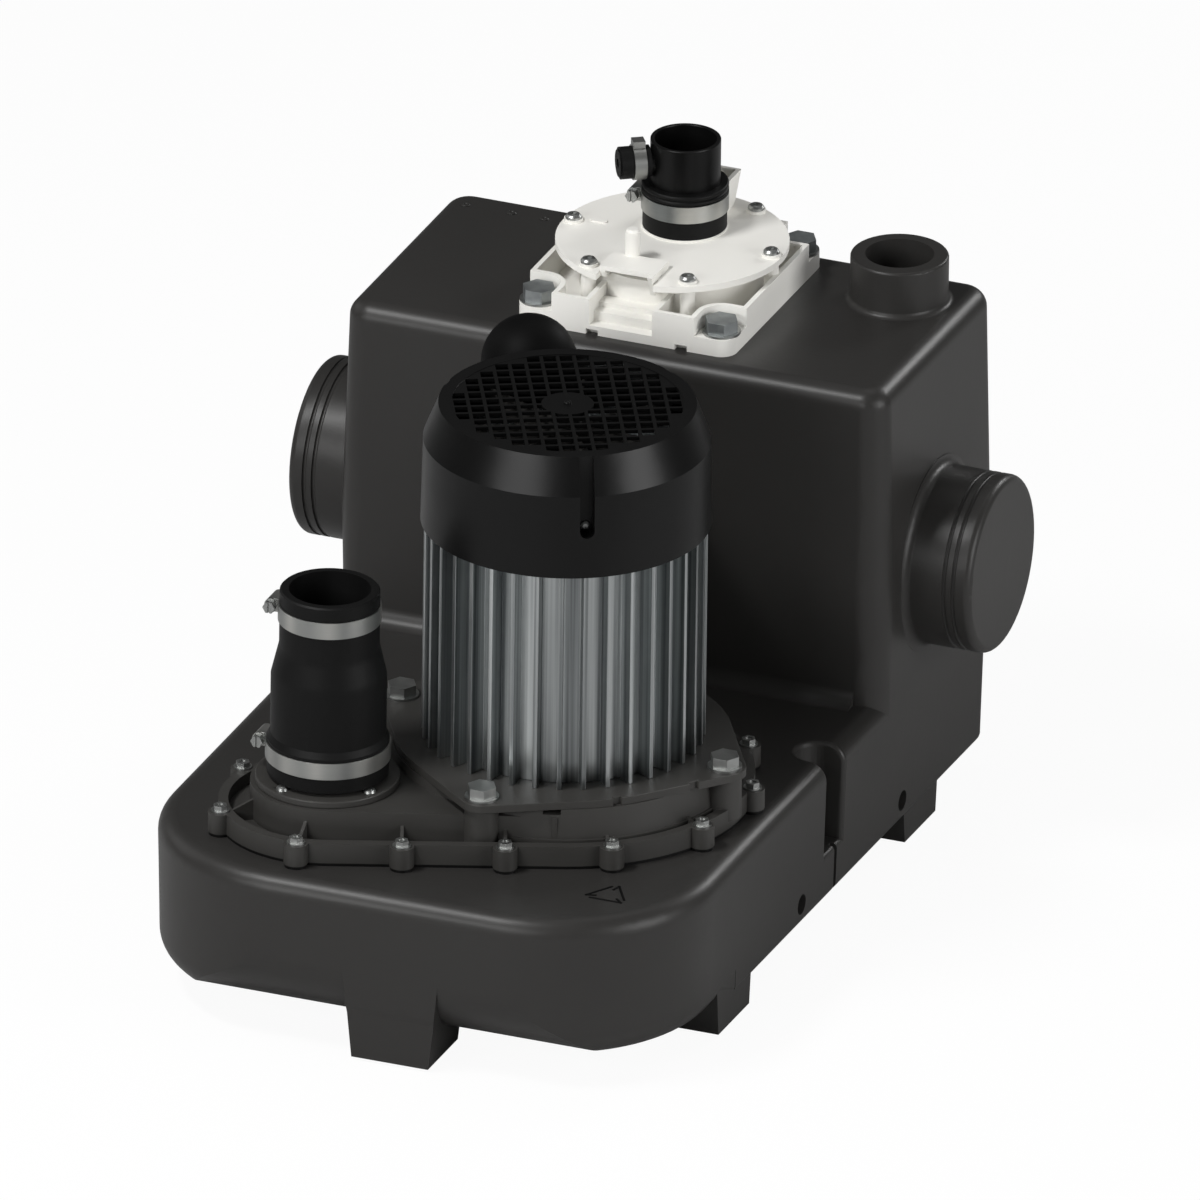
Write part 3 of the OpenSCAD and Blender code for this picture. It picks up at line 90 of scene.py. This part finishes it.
class Wire:
    """A node's output that can be used in a sum"""

    def __init__(self, finish, socket):
        self.finish = finish
        self.socket = socket

    def maths(self, operation, first, second):
        return self.finish.node("ShaderNodeMath", {"operation": operation}, {0: first, 1: second})

    def __add__(self, other):
        return self.maths("ADD", self, other)

    def __radd__(self, other):
        return self.maths("ADD", other, self)

    def __sub__(self, other):
        return self.maths("SUBTRACT", self, other)

    def __rsub__(self, other):
        return self.maths("SUBTRACT", other, self)

    def __mul__(self, other):
        return self.maths("MULTIPLY", self, other)

    def __rmul__(self, other):
        return self.maths("MULTIPLY", other, self)

    def held(self):
        """The same value kept between 0 and 1"""
        return self.finish.node("ShaderNodeClamp", {}, {0: self})


class Finish:
    """One material, built from nodes"""

    def __init__(self, name, **constants):
        self.material = bpy.data.materials.new(name)
        self.material.use_nodes = True
        self.tree = self.material.node_tree
        self.shader = self.tree.nodes["Principled BSDF"]
        for socket, value in constants.items():
            self.shader.inputs[socket.replace("_", " ")].default_value = value

    def node(self, kind, settings=None, sockets=None, out=0):
        """One node of a kind, with its settings and a value or a wire for each socket named"""
        made = self.tree.nodes.new(kind)
        for key, value in (settings or {}).items():
            setattr(made, key, value)
        for key, value in (sockets or {}).items():
            if isinstance(value, Wire):
                self.tree.links.new(value.socket, made.inputs[key])
            else:
                made.inputs[key].default_value = value
        return Wire(self, made.outputs[out])

    def feed(self, socket, wire):
        self.tree.links.new(wire.socket, self.shader.inputs[socket])

    def surface(self, colour, roughness, normal):
        """Feeds the three sockets that vary over the surface"""
        self.feed("Base Color", colour)
        self.feed("Roughness", roughness)
        self.feed("Normal", normal)
        return self.material

    def place(self, scale=(1, 1, 1)):
        """The point on the object in metres, in the shared frame, stretched by scale"""
        spot = self.node("ShaderNodeTexCoord", out="Object")
        return self.node("ShaderNodeMapping", {}, {"Vector": spot, "Scale": scale})

    def noise(self, scale, detail=3.0, rough=0.5, vector=None):
        return self.node("ShaderNodeTexNoise", {}, {"Vector": vector or self.place(), "Scale": scale,
                                                    "Detail": detail, "Roughness": rough})

    def layers(self, scale, distortion, detail=2.0):
        """Bands that lie one above the other"""
        return self.node("ShaderNodeTexWave", {"bands_direction": "Z"},
                         {"Vector": self.place(), "Scale": scale, "Distortion": distortion, "Detail": detail})

    def blend(self, factor, first, second):
        """A mix of two colours, which this node has at its inputs 6 and 7 and its output 2"""
        return self.node("ShaderNodeMix", {"data_type": "RGBA"}, {0: factor, 6: first, 7: second}, 2)

    def bump(self, height, strength, depth, under=None):
        """A normal from a height, on top of the one under it if there is one"""
        sockets = {"Height": height, "Strength": strength, "Distance": depth}
        if under is not None:
            sockets["Normal"] = under
        return self.node("ShaderNodeBump", {}, sockets)


def moulded_tank():
    """Charcoal moulded polyethylene: a fine even grain, slight cloudiness and a soft sheen"""
    f = Finish("tank_polyethylene", Specular_IOR_Level=0.3)
    cloud = f.noise(9.0, 4.0, 0.55)
    grain = f.noise(1500.0, 2.0, 0.6)
    peel = f.noise(240.0, 2.0, 0.5)
    tint = f.blend(cloud, srgb("282726"), srgb("2e2d2c"))
    return f.surface(f.blend(0.35 * grain, tint, srgb("353432")), 0.33 + 0.08 * cloud + 0.05 * grain,
                     f.bump(grain, 0.22, 0.0002, f.bump(peel, 0.10, 0.0004)))


def pump_black():
    """Glass-filled black plastic of the pump cover, lower shield and terminal box"""
    f = Finish("pump_black_plastic", Specular_IOR_Level=0.4)
    cloud = f.noise(22.0, 3.0)
    grain = f.noise(1100.0, 2.0, 0.6)
    return f.surface(f.blend(cloud, srgb("31302e"), srgb("393836")), 0.40 + 0.10 * cloud + 0.05 * grain,
                     f.bump(grain, 0.16, 0.0002))


def gloss_black():
    """Smooth black plastic of the fan cover and the vent pipe"""
    f = Finish("gloss_black_plastic", Specular_IOR_Level=0.22)
    cloud = f.noise(16.0, 3.0)
    peel = f.noise(420.0, 2.0)
    return f.surface(f.blend(cloud, srgb("070707"), srgb("0c0c0c")), 0.30 + 0.08 * cloud,
                     f.bump(peel, 0.05, 0.0002))


def dull_black_and_mark_shade():
    """Matt black plastic of the capacitor's cap, also used as painted shade on the moulded mark on the deck"""
    f = Finish("dull_black_plastic_and_mark_shade", Specular_IOR_Level=0.06)
    cloud = f.noise(20.0, 3.0)
    grain = f.noise(700.0, 2.0)
    return f.surface(f.blend(cloud, srgb("070707"), srgb("0d0d0d")), 0.50 + 0.10 * cloud,
                     f.bump(grain, 0.06, 0.0002))


def black_rubber():
    """Moulded rubber of the sleeves: a dull skin with faint flow marks"""
    f = Finish("black_rubber", Specular_IOR_Level=0.16)
    flow = f.noise(1.0, 3.0, 0.6, f.place((60, 60, 9)))
    grain = f.noise(900.0, 2.0)
    return f.surface(f.blend(flow, srgb("090909"), srgb("101010")), 0.42 + 0.14 * flow + 0.05 * grain,
                     f.bump(grain, 0.12, 0.0002))


def extruded_aluminium():
    """Extruded fins: fine die lines along the extrusion, over upright light and dark bands of painted reflection round
    the frame
    """
    f = Finish("extruded_aluminium", Metallic=1.0)
    lines = f.noise(1.0, 4.0, 0.6, f.place((900, 900, 6)))
    bands = f.noise(1.0, 2.0, 0.6, f.place((210, 210, 1.5)))
    cloud = f.noise(30.0, 3.0)
    # painted reflection: upright bands, light and dark by turns round the fins
    painted_reflection = f.blend((2.6 * bands - 0.8).held(), srgb("6e7274"), srgb("e0e4e4"))
    return f.surface(f.blend(0.3 * lines, painted_reflection, srgb("8e9191")), 0.22 + 0.14 * lines + 0.08 * cloud,
                     f.bump(lines, 0.12, 0.0002))


def turned_steel():
    """Zinc-plated screws, bolts and washers, and the turned steel inside"""
    f = Finish("plated_steel", Metallic=1.0)
    cloud = f.noise(160.0, 3.0)
    fine = f.noise(1500.0, 2.0)
    return f.surface(f.blend(cloud, srgb("8f9190"), srgb("b5b6b4")), 0.28 + 0.16 * cloud + 0.06 * fine,
                     f.bump(fine, 0.08, 0.0001))


def clamp_band():
    """Rolled stainless band of the hose clamps, with painted reflection, lighter and darker by turns round the hose"""
    f = Finish("clamp_band_steel", Metallic=1.0)
    rolled = f.noise(1.0, 3.0, 0.6, f.place((40, 40, 1800)))
    painted_sheen = f.noise(1.0, 1.0, 0.5, f.place((45, 45, 0)))
    # painted reflection: lighter and darker by turns round the band
    painted_band_reflection = f.blend((3.0 * painted_sheen - 1.0).held(), srgb("777b7c"), srgb("cfcec9"))
    return f.surface(f.blend(0.4 * rolled, painted_band_reflection, srgb("a9aaa7")), 0.30 + 0.18 * rolled,
                     f.bump(rolled, 0.08, 0.0001))


def dark_bolt():
    """Duller plated hexagon bolts of the sensor"""
    f = Finish("dark_bolt_steel", Metallic=1.0)
    cloud = f.noise(190.0, 3.0)
    return f.surface(f.blend(cloud, srgb("8d9294"), srgb("b4b8b8")), 0.40 + 0.20 * cloud,
                     f.bump(cloud, 0.08, 0.0001))


def white_housing():
    """Off-white moulded housing of the level sensor"""
    f = Finish("white_housing_plastic", Specular_IOR_Level=0.4)
    cloud = f.noise(14.0, 3.0)
    grain = f.noise(1200.0, 2.0)
    return f.surface(f.blend(cloud, srgb("e9e7e1"), srgb("f2f1ec")), 0.38 + 0.12 * cloud + 0.04 * grain,
                     f.bump(grain, 0.06, 0.0002))


def laminations():
    """Stacked sheet steel of stator and rotor"""
    f = Finish("stacked_laminations", Metallic=1.0)
    sheets = f.layers(320.0, 0.4)
    return f.surface(f.blend(sheets, srgb("4c4d4f"), srgb("7c7e80")), 0.42 + 0.15 * sheets,
                     f.bump(sheets, 0.2, 0.0003))


def wound_copper():
    """Varnished copper turns"""
    f = Finish("varnished_copper", Metallic=0.8)
    turns = f.layers(190.0, 2.5)
    return f.surface(f.blend(turns, srgb("7a3f1f"), srgb("c07a45")), 0.25 + 0.2 * turns,
                     f.bump(turns, 0.5, 0.0006))


finishes = {
    moulded_tank: ["tank"],
    pump_black: ["casing_cover", "outlet_flange", "lower_shield", "volute_plate", "valve_seat", "terminal_box",
                 "terminal_lid", "cable_gland", "cooling_fan", "micro_switch"],
    gloss_black: ["fan_cover", "vent_pipe"],
    dull_black_and_mark_shade: ["capacitor_cap"],
    black_rubber: ["cover_gasket", "shaft_seal", "valve_flap", "outlet_sleeve", "sensor_gasket", "diaphragm",
                   "vent_sleeve", "stub_cap"],
    extruded_aluminium: ["motor_frame", "upper_shield", "capacitor"],
    turned_steel: ["cover_screws", "volute_screws", "strainer_basket", "flange_screws", "flap_pin", "clamp_screws",
                   "shield_bolts", "fan_cover_screws", "lid_fixings", "shaft", "impeller", "cutter_blade", "blade_nut",
                   "lid_screws", "lower_bearing", "upper_bearing", "shield_washers", "sensor_washers"],
    clamp_band: ["upper_clamp", "lower_clamp", "vent_clamp", "stub_clamp"],
    dark_bolt: ["sensor_bolts"],
    white_housing: ["sensor_base", "sensor_lid", "pressure_tube", "plunger"],
    laminations: ["stator_core", "rotor_core"],
    wound_copper: ["stator_windings"],
}
finish_of = {}
for make, names in finishes.items():
    material = make()
    for name in names:
        finish_of[name] = material


def loft(form, rings):
    """Adds a closed form through rings of points in millimetres"""
    loops = [[form.verts.new(Vector(point) / 1000) for point in ring] for ring in rings]
    count = len(loops[0])
    for near, far in zip(loops, loops[1:]):
        for k in range(count):
            form.faces.new((near[k], near[(k + 1) % count], far[(k + 1) % count], far[k]))
    form.faces.new(loops[0][::-1])
    form.faces.new(loops[-1])


def linked(name, form):
    """The object that a form becomes, in the scene"""
    mesh = bpy.data.meshes.new(name)
    form.to_mesh(mesh)
    form.free()
    made = bpy.data.objects.new(name, mesh)
    bpy.context.scene.collection.objects.link(made)
    return made


def shade_smooth(piece):
    piece.data.polygons.foreach_set("use_smooth", [True] * len(piece.data.polygons))


def shape_tank(operation, name, rings):
    """Adds a form through rings of points to the tank or cuts it away, by a modifier with a hidden tool"""
    step = nodes["tank"].modifiers.new(name, "BOOLEAN")
    step.operation, step.solver = operation, "EXACT"
    form = bmesh.new()
    loft(form, rings)
    bmesh.ops.recalc_face_normals(form, faces=form.faces)
    step.object = linked(name, form)
    step.object.hide_render = True
    shade_smooth(step.object)


def sweep(first, last, steps):
    """Angles from first to last, which are given in degrees"""
    return [math.radians(first + (last - first) * k / steps) for k in range(steps + 1)]


def arc(first, last, radius, across, up, steps):
    """Points on an arc round a centre"""
    return [(across + radius * math.cos(a), up + radius * math.sin(a)) for a in sweep(first, last, steps)]


def wall_in(z):
    """How far in the walls are at height z, below the widest height"""
    return (WIDEST_Z - z) * math.tan(math.radians(LEAN))


def back_front_belly():
    """Adds material inside the wall, round the front, for the large rounding to be cut from"""
    inset, top, inner = 2.5, UNDER_Z + LARGE_R, 60
    heart_z, r = UNDER_Z + BELLY_R, BELLY_R - inset
    section = arc(-90, 0, r, CORNER_R - wall_in(heart_z) - BELLY_R, heart_z, 8)
    section += [(CORNER_R - wall_in(top) - inset, top), (inner, top), (inner, heart_z - r)]
    rings = []
    for side, first in ((-1, 180), (1, 270)):
        for a in sweep(first, first + 90, 24):
            rings.append([(side * CORNER_X + w * math.cos(a), FRONT_Y + CORNER_R + w * math.sin(a), z)
                          for w, z in section])
    shape_tank("UNION", "belly_backing", rings)


def cut_front_belly():
    """Cuts the large rounding straight across the lower front edge, on both sides of the front foot"""
    before, below, beyond = -292, 10, 190
    lower = 2   # taking the foot's flank this much lower starts the cut just inside it
    centre_y = FRONT_Y + wall_in(UNDER_Z + LARGE_R) + LARGE_R
    scoop = arc(-90, LEAN - 180, LARGE_R + CLEAR, centre_y, UNDER_Z + LARGE_R, 20)
    scoop += [(before, scoop[-1][1]), (before, below), (centre_y, below)]
    for side in (-1, 1):
        beside_foot = [(FOOT_X + side * (FOOT_HALF + FOOT_SLANT * (z - lower) / (UNDER_Z + BELLY_R)), y, z)
                       for y, z in scoop]
        past_wall = [(side * beyond, y, z) for y, z in scoop]
        shape_tank("DIFFERENCE", "belly_cut", [beside_foot, past_wall])


def blend_heels():
    """Leads one rounding over into the other below the side walls, where the solid has a step at the front feet"""
    start_y, foot_y, top, inner = -160, -135.4, 55, 80
    heels = []
    for y, r in ((start_y, BELLY_R), (foot_y, HEEL_R)):
        profile = arc(-90, 0, r - CLEAR, CORNER_R - wall_in(UNDER_Z + r) - r, UNDER_Z + r, 8)
        profile += [(CORNER_R - wall_in(top) - CLEAR, top), (inner, top), (inner, UNDER_Z + CLEAR)]
        heels.append([(y, w, z) for w, z in profile])
    for side in (-1, 1):
        shape_tank("UNION", "heel_blend", [[(side * (CORNER_X + w), y, z) for y, w, z in ring] for ring in heels])


def round_notch_mouths():
    """Rounds the sharp edge round the mouth of the upright notch in each side wall, as moulding leaves it"""
    bend_z = DECK_Z - EDGE_R
    bend_x = WIDEST_X - wall_in(bend_z) - EDGE_R
    sill_x = WIDEST_X - wall_in(SILL_Z)
    quarter = sweep(0, 90, 8)

    def over_bend(y, away, angles):
        return [((bend_x + EDGE_R * math.cos(a), y, bend_z + EDGE_R * math.sin(a)),
                 (math.cos(a), 0, math.sin(a)), away) for a in angles]

    # Points on the edge, each with the way out of the surface and the way from the notch into the material
    path = [((sill_x, SLOT_Y + CLEAR, SILL_Z), (1, 0, 0), (0, 0, -1)),
            ((sill_x, NOTCH_Y + NOTCH_HALF, SILL_Z), (1, 0, 0), (0, 1, -1))]
    path += over_bend(NOTCH_Y + NOTCH_HALF, (0, 1, 0), quarter)
    for a in sweep(90, 270, 20)[1:-1]:
        path.append(((NOTCH_X + NOTCH_R * math.cos(a), NOTCH_Y + NOTCH_R * math.sin(a), DECK_Z),
                     (0, 0, 1), (math.cos(a), math.sin(a), 0)))
    path += over_bend(NOTCH_Y - NOTCH_HALF, (0, -1, 0), quarter[::-1])
    path += [((sill_x, NOTCH_Y - NOTCH_HALF, SILL_Z), (1, 0, 0), (0, -1, -1)),
             ((sill_x, SLOT_Y - CLEAR, SILL_Z), (1, 0, 0), (0, 0, -1))]
    for side in (-1, 1):
        rings = []
        for edge, out, away in path:
            edge, out, away = Vector(edge), Vector(out), Vector(away)
            heart = edge + MOUTH_R * (away - out)
            ring = [heart + MOUTH_R * (math.sin(a) * out - math.cos(a) * away) for a in quarter[::2]]
            ring += [edge + MOUTH_R * away + out, edge - away + out, edge - away - MOUTH_R * out]
            rings.append([(side * point.x, point.y, point.z) for point in ring])
        shape_tank("DIFFERENCE", "notch_mouth", rings)


def soften(piece, width):
    """Closes the seams between a piece's faces, rounds its edges by width and shades it smooth between them"""
    weld = piece.modifiers.new("close_seams", "WELD")
    weld.merge_threshold = 0.00002
    if piece == nodes["tank"]:
        back_front_belly()
        cut_front_belly()
        blend_heels()
        round_notch_mouths()
    if width:
        bevel = piece.modifiers.new("round_edges", "BEVEL")
        bevel.width = width
        bevel.segments = 2
        bevel.limit_method = "ANGLE"
        bevel.angle_limit = SHARP
    shade_smooth(piece)
    split = piece.modifiers.new("part_edges", "EDGE_SPLIT")
    split.split_angle = SHARP
    weight = piece.modifiers.new("flat_faces", "WEIGHTED_NORMAL")
    weight.keep_sharp = True
    weight.weight = 80


# How far each visible node's edges are rounded, in metres; the rest keep their edges
rounded = {"casing_cover": 0.0009, "lower_shield": 0.0003, "outlet_flange": 0.0007, "fan_cover": 0.0007,
           "sensor_base": 0.0005, "sensor_lid": 0.0006, "sensor_bolts": 0.0005, "shield_bolts": 0.0005,
           "cover_screws": 0.0003, "terminal_box": 0.001, "terminal_lid": 0.001, "vent_pipe": 0.0006,
           "upper_clamp": 0.0002, "lower_clamp": 0.0002, "vent_clamp": 0.0002, "motor_frame": 0.0003}

for name, piece in nodes.items():
    piece.data.materials.clear()
    piece.data.materials.append(finish_of[name])
    soften(piece, rounded.get(name, 0.0))


def finished(name, form, node, finish):
    """Makes a piece of what was built, gives it a finish and lets it ride with a node's body"""
    bmesh.ops.recalc_face_normals(form, faces=form.faces)
    piece = linked(name, form)
    piece.data.materials.append(finish)
    soften(piece, 0.0)
    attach(piece, nodes[node]["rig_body"])


def turned(name, profile, places, node):
    """Small turned forms of one profile (radius, height) in millimetres, one at each place, as one piece"""
    sides = 20
    form = bmesh.new()
    for spot in places:
        loft(form, [[Vector(spot) + Vector((r * math.cos(k * math.tau / sides), r * math.sin(k * math.tau / sides), h))
                     for k in range(sides)] for r, h in profile])
    finished(name, form, node, finish_of[node])


def moulded_triangle():
    """The faint three-sided mark on the deck: three raised bars, each with a slanted end"""
    gap_before, gap_after, slant = 5, 3, 4
    form = bmesh.new()
    corners = [Vector((112, -229)), Vector((140, -229)), Vector((126, -205))]
    for k in range(3):
        start, end = corners[k], corners[(k + 1) % 3]
        along = (end - start).normalized()
        across = Vector((-along.y, along.x))
        tip = end - gap_after * along
        slanted = end - (gap_after + slant) * along + slant * across
        for a, b in ((start + gap_before * along, tip), (tip, slanted)):
            way = (b - a).normalized()
            side = Vector((-way.y, way.x))
            rings = []
            for half, height in ((0.75, -0.4), (0.75, 0.25), (0.4, 0.5)):
                flat = [a - way * half - side * half, b + way * half - side * half,
                        b + way * half + side * half, a - way * half + side * half]
                rings.append([Vector((q.x, q.y, DECK_Z + height)) for q in flat])
            loft(form, rings)
    # The bars take the cap's matt black: painted shade standing in for the shade lines round the moulded mark
    finished("moulded_triangle", form, "tank", finish_of["capacitor_cap"])


moulded_triangle()
turned("moulded_rings", ((2.8, -0.4), (2.8, 0.3), (2.3, 0.7), (1.6, 0.7), (1.2, 0.1)),
       [(x, 254, BLOCK_Z) for x in (-160, -130, -108.6)], "tank")
cover_top = max((nodes["fan_cover"].matrix_world @ v.co).z for v in nodes["fan_cover"].data.vertices) * 1000
turned("cover_pip", ((2.4, -0.4), (2.4, 0.4), (1.9, 1.2), (0.9, 1.7)), [(43.5, -90, cover_top)], "fan_cover")


def floor_finish():
    """Nearly white to the camera, with a faint shadow, and darker where the pump mirrors it"""
    lit, mirrored, white_share = (0.9, 0.9, 0.9, 1), (0.52, 0.52, 0.52, 1), 0.94
    f = Finish("pale_floor", Roughness=0.9, Specular_IOR_Level=0.0)
    in_mirror = f.node("ShaderNodeLightPath", out="Is Glossy Ray")
    seen = f.node("ShaderNodeLightPath", out="Is Camera Ray")
    f.feed("Base Color", f.blend(in_mirror, lit, mirrored))
    glow = f.node("ShaderNodeEmission", {}, {"Color": (1, 1, 1, 1), "Strength": 1.0})
    mix = f.node("ShaderNodeMixShader", {}, {0: white_share * seen, 1: Wire(f, f.shader.outputs[0]), 2: glow})
    f.tree.links.new(mix.socket, f.tree.nodes["Material Output"].inputs["Surface"])
    return f.material


def studio_floor():
    form = bmesh.new()
    bmesh.ops.create_grid(form, x_segments=2, y_segments=2, size=6.0)
    floor = linked("studio_floor", form)
    floor.data.materials.append(floor_finish())


def soft_light(name, azimuth, elevation, distance, width, height, watts):
    """A rectangular lamp that looks at the pump from azimuth (0 is from the front, -Y) and elevation"""
    target = Vector((0, 0, 0.2))
    a, e = math.radians(azimuth), math.radians(elevation)
    away = Vector((math.sin(a) * math.cos(e), -math.cos(a) * math.cos(e), math.sin(e)))
    data = bpy.data.lights.new(name, "AREA")
    data.shape = "RECTANGLE"
    data.size, data.size_y = width, height
    data.energy = watts
    lamp = bpy.data.objects.new(name, data)
    lamp.location = target + away * distance
    lamp.rotation_mode = "QUATERNION"
    lamp.rotation_quaternion = (-away).to_track_quat("-Z", "Y")
    bpy.context.scene.collection.objects.link(lamp)


def studio():
    """A pale floor under a dim sky, a strip high in front, wide lamps round about and a rim lamp behind the right"""
    studio_floor()
    world = bpy.data.worlds.new("studio_air")
    world.use_nodes = True
    world.node_tree.nodes["Background"].inputs["Color"].default_value = (1, 1, 1, 1)
    world.node_tree.nodes["Background"].inputs["Strength"].default_value = 0.07
    bpy.context.scene.world = world
    soft_light("key_light", -38, 58, 2.2, 0.6, 0.25, 30)
    soft_light("front_light", -15, 22, 2.6, 1.6, 0.7, 26)
    soft_light("right_light", 80, 15, 2.4, 1.2, 1.2, 27)
    soft_light("left_light", -100, 25, 2.4, 1.2, 1.2, 4)
    soft_light("rear_light", 180, 70, 2.4, 1.2, 1.2, 4)
    soft_light("rim_light", 157, 24, 2.6, 0.6, 0.35, 15)


def camera():
    """Parallel camera fitted to the photograph: azimuth 21.49, elevation 24.70 and a roll of 0.75 degrees"""
    photo_width, pixels_per_metre, distance = 1200, 1652, 5.0
    data = bpy.data.cameras.new("photo_camera")
    data.type = "ORTHO"
    data.ortho_scale = photo_width / pixels_per_metre
    data.clip_start, data.clip_end = 0.1, 40.0
    eye = bpy.data.objects.new("photo_camera", data)
    right = Vector((0.92840, 0.37140, 0.01189)).normalized()
    up = Vector((-0.16525, 0.38399, 0.90843))
    up = (up - right * up.dot(right)).normalized()
    back = right.cross(up)
    place = Vector((0.0239, 0.0175, 0.1891)) + back * distance
    eye.matrix_world = Matrix((
        (right.x, up.x, back.x, place.x),
        (right.y, up.y, back.y, place.y),
        (right.z, up.z, back.z, place.z),
        (0, 0, 0, 1)))
    bpy.context.scene.collection.objects.link(eye)
    bpy.context.scene.camera = eye


camera()
studio()
bpy.context.scene.view_settings.view_transform = "Standard"
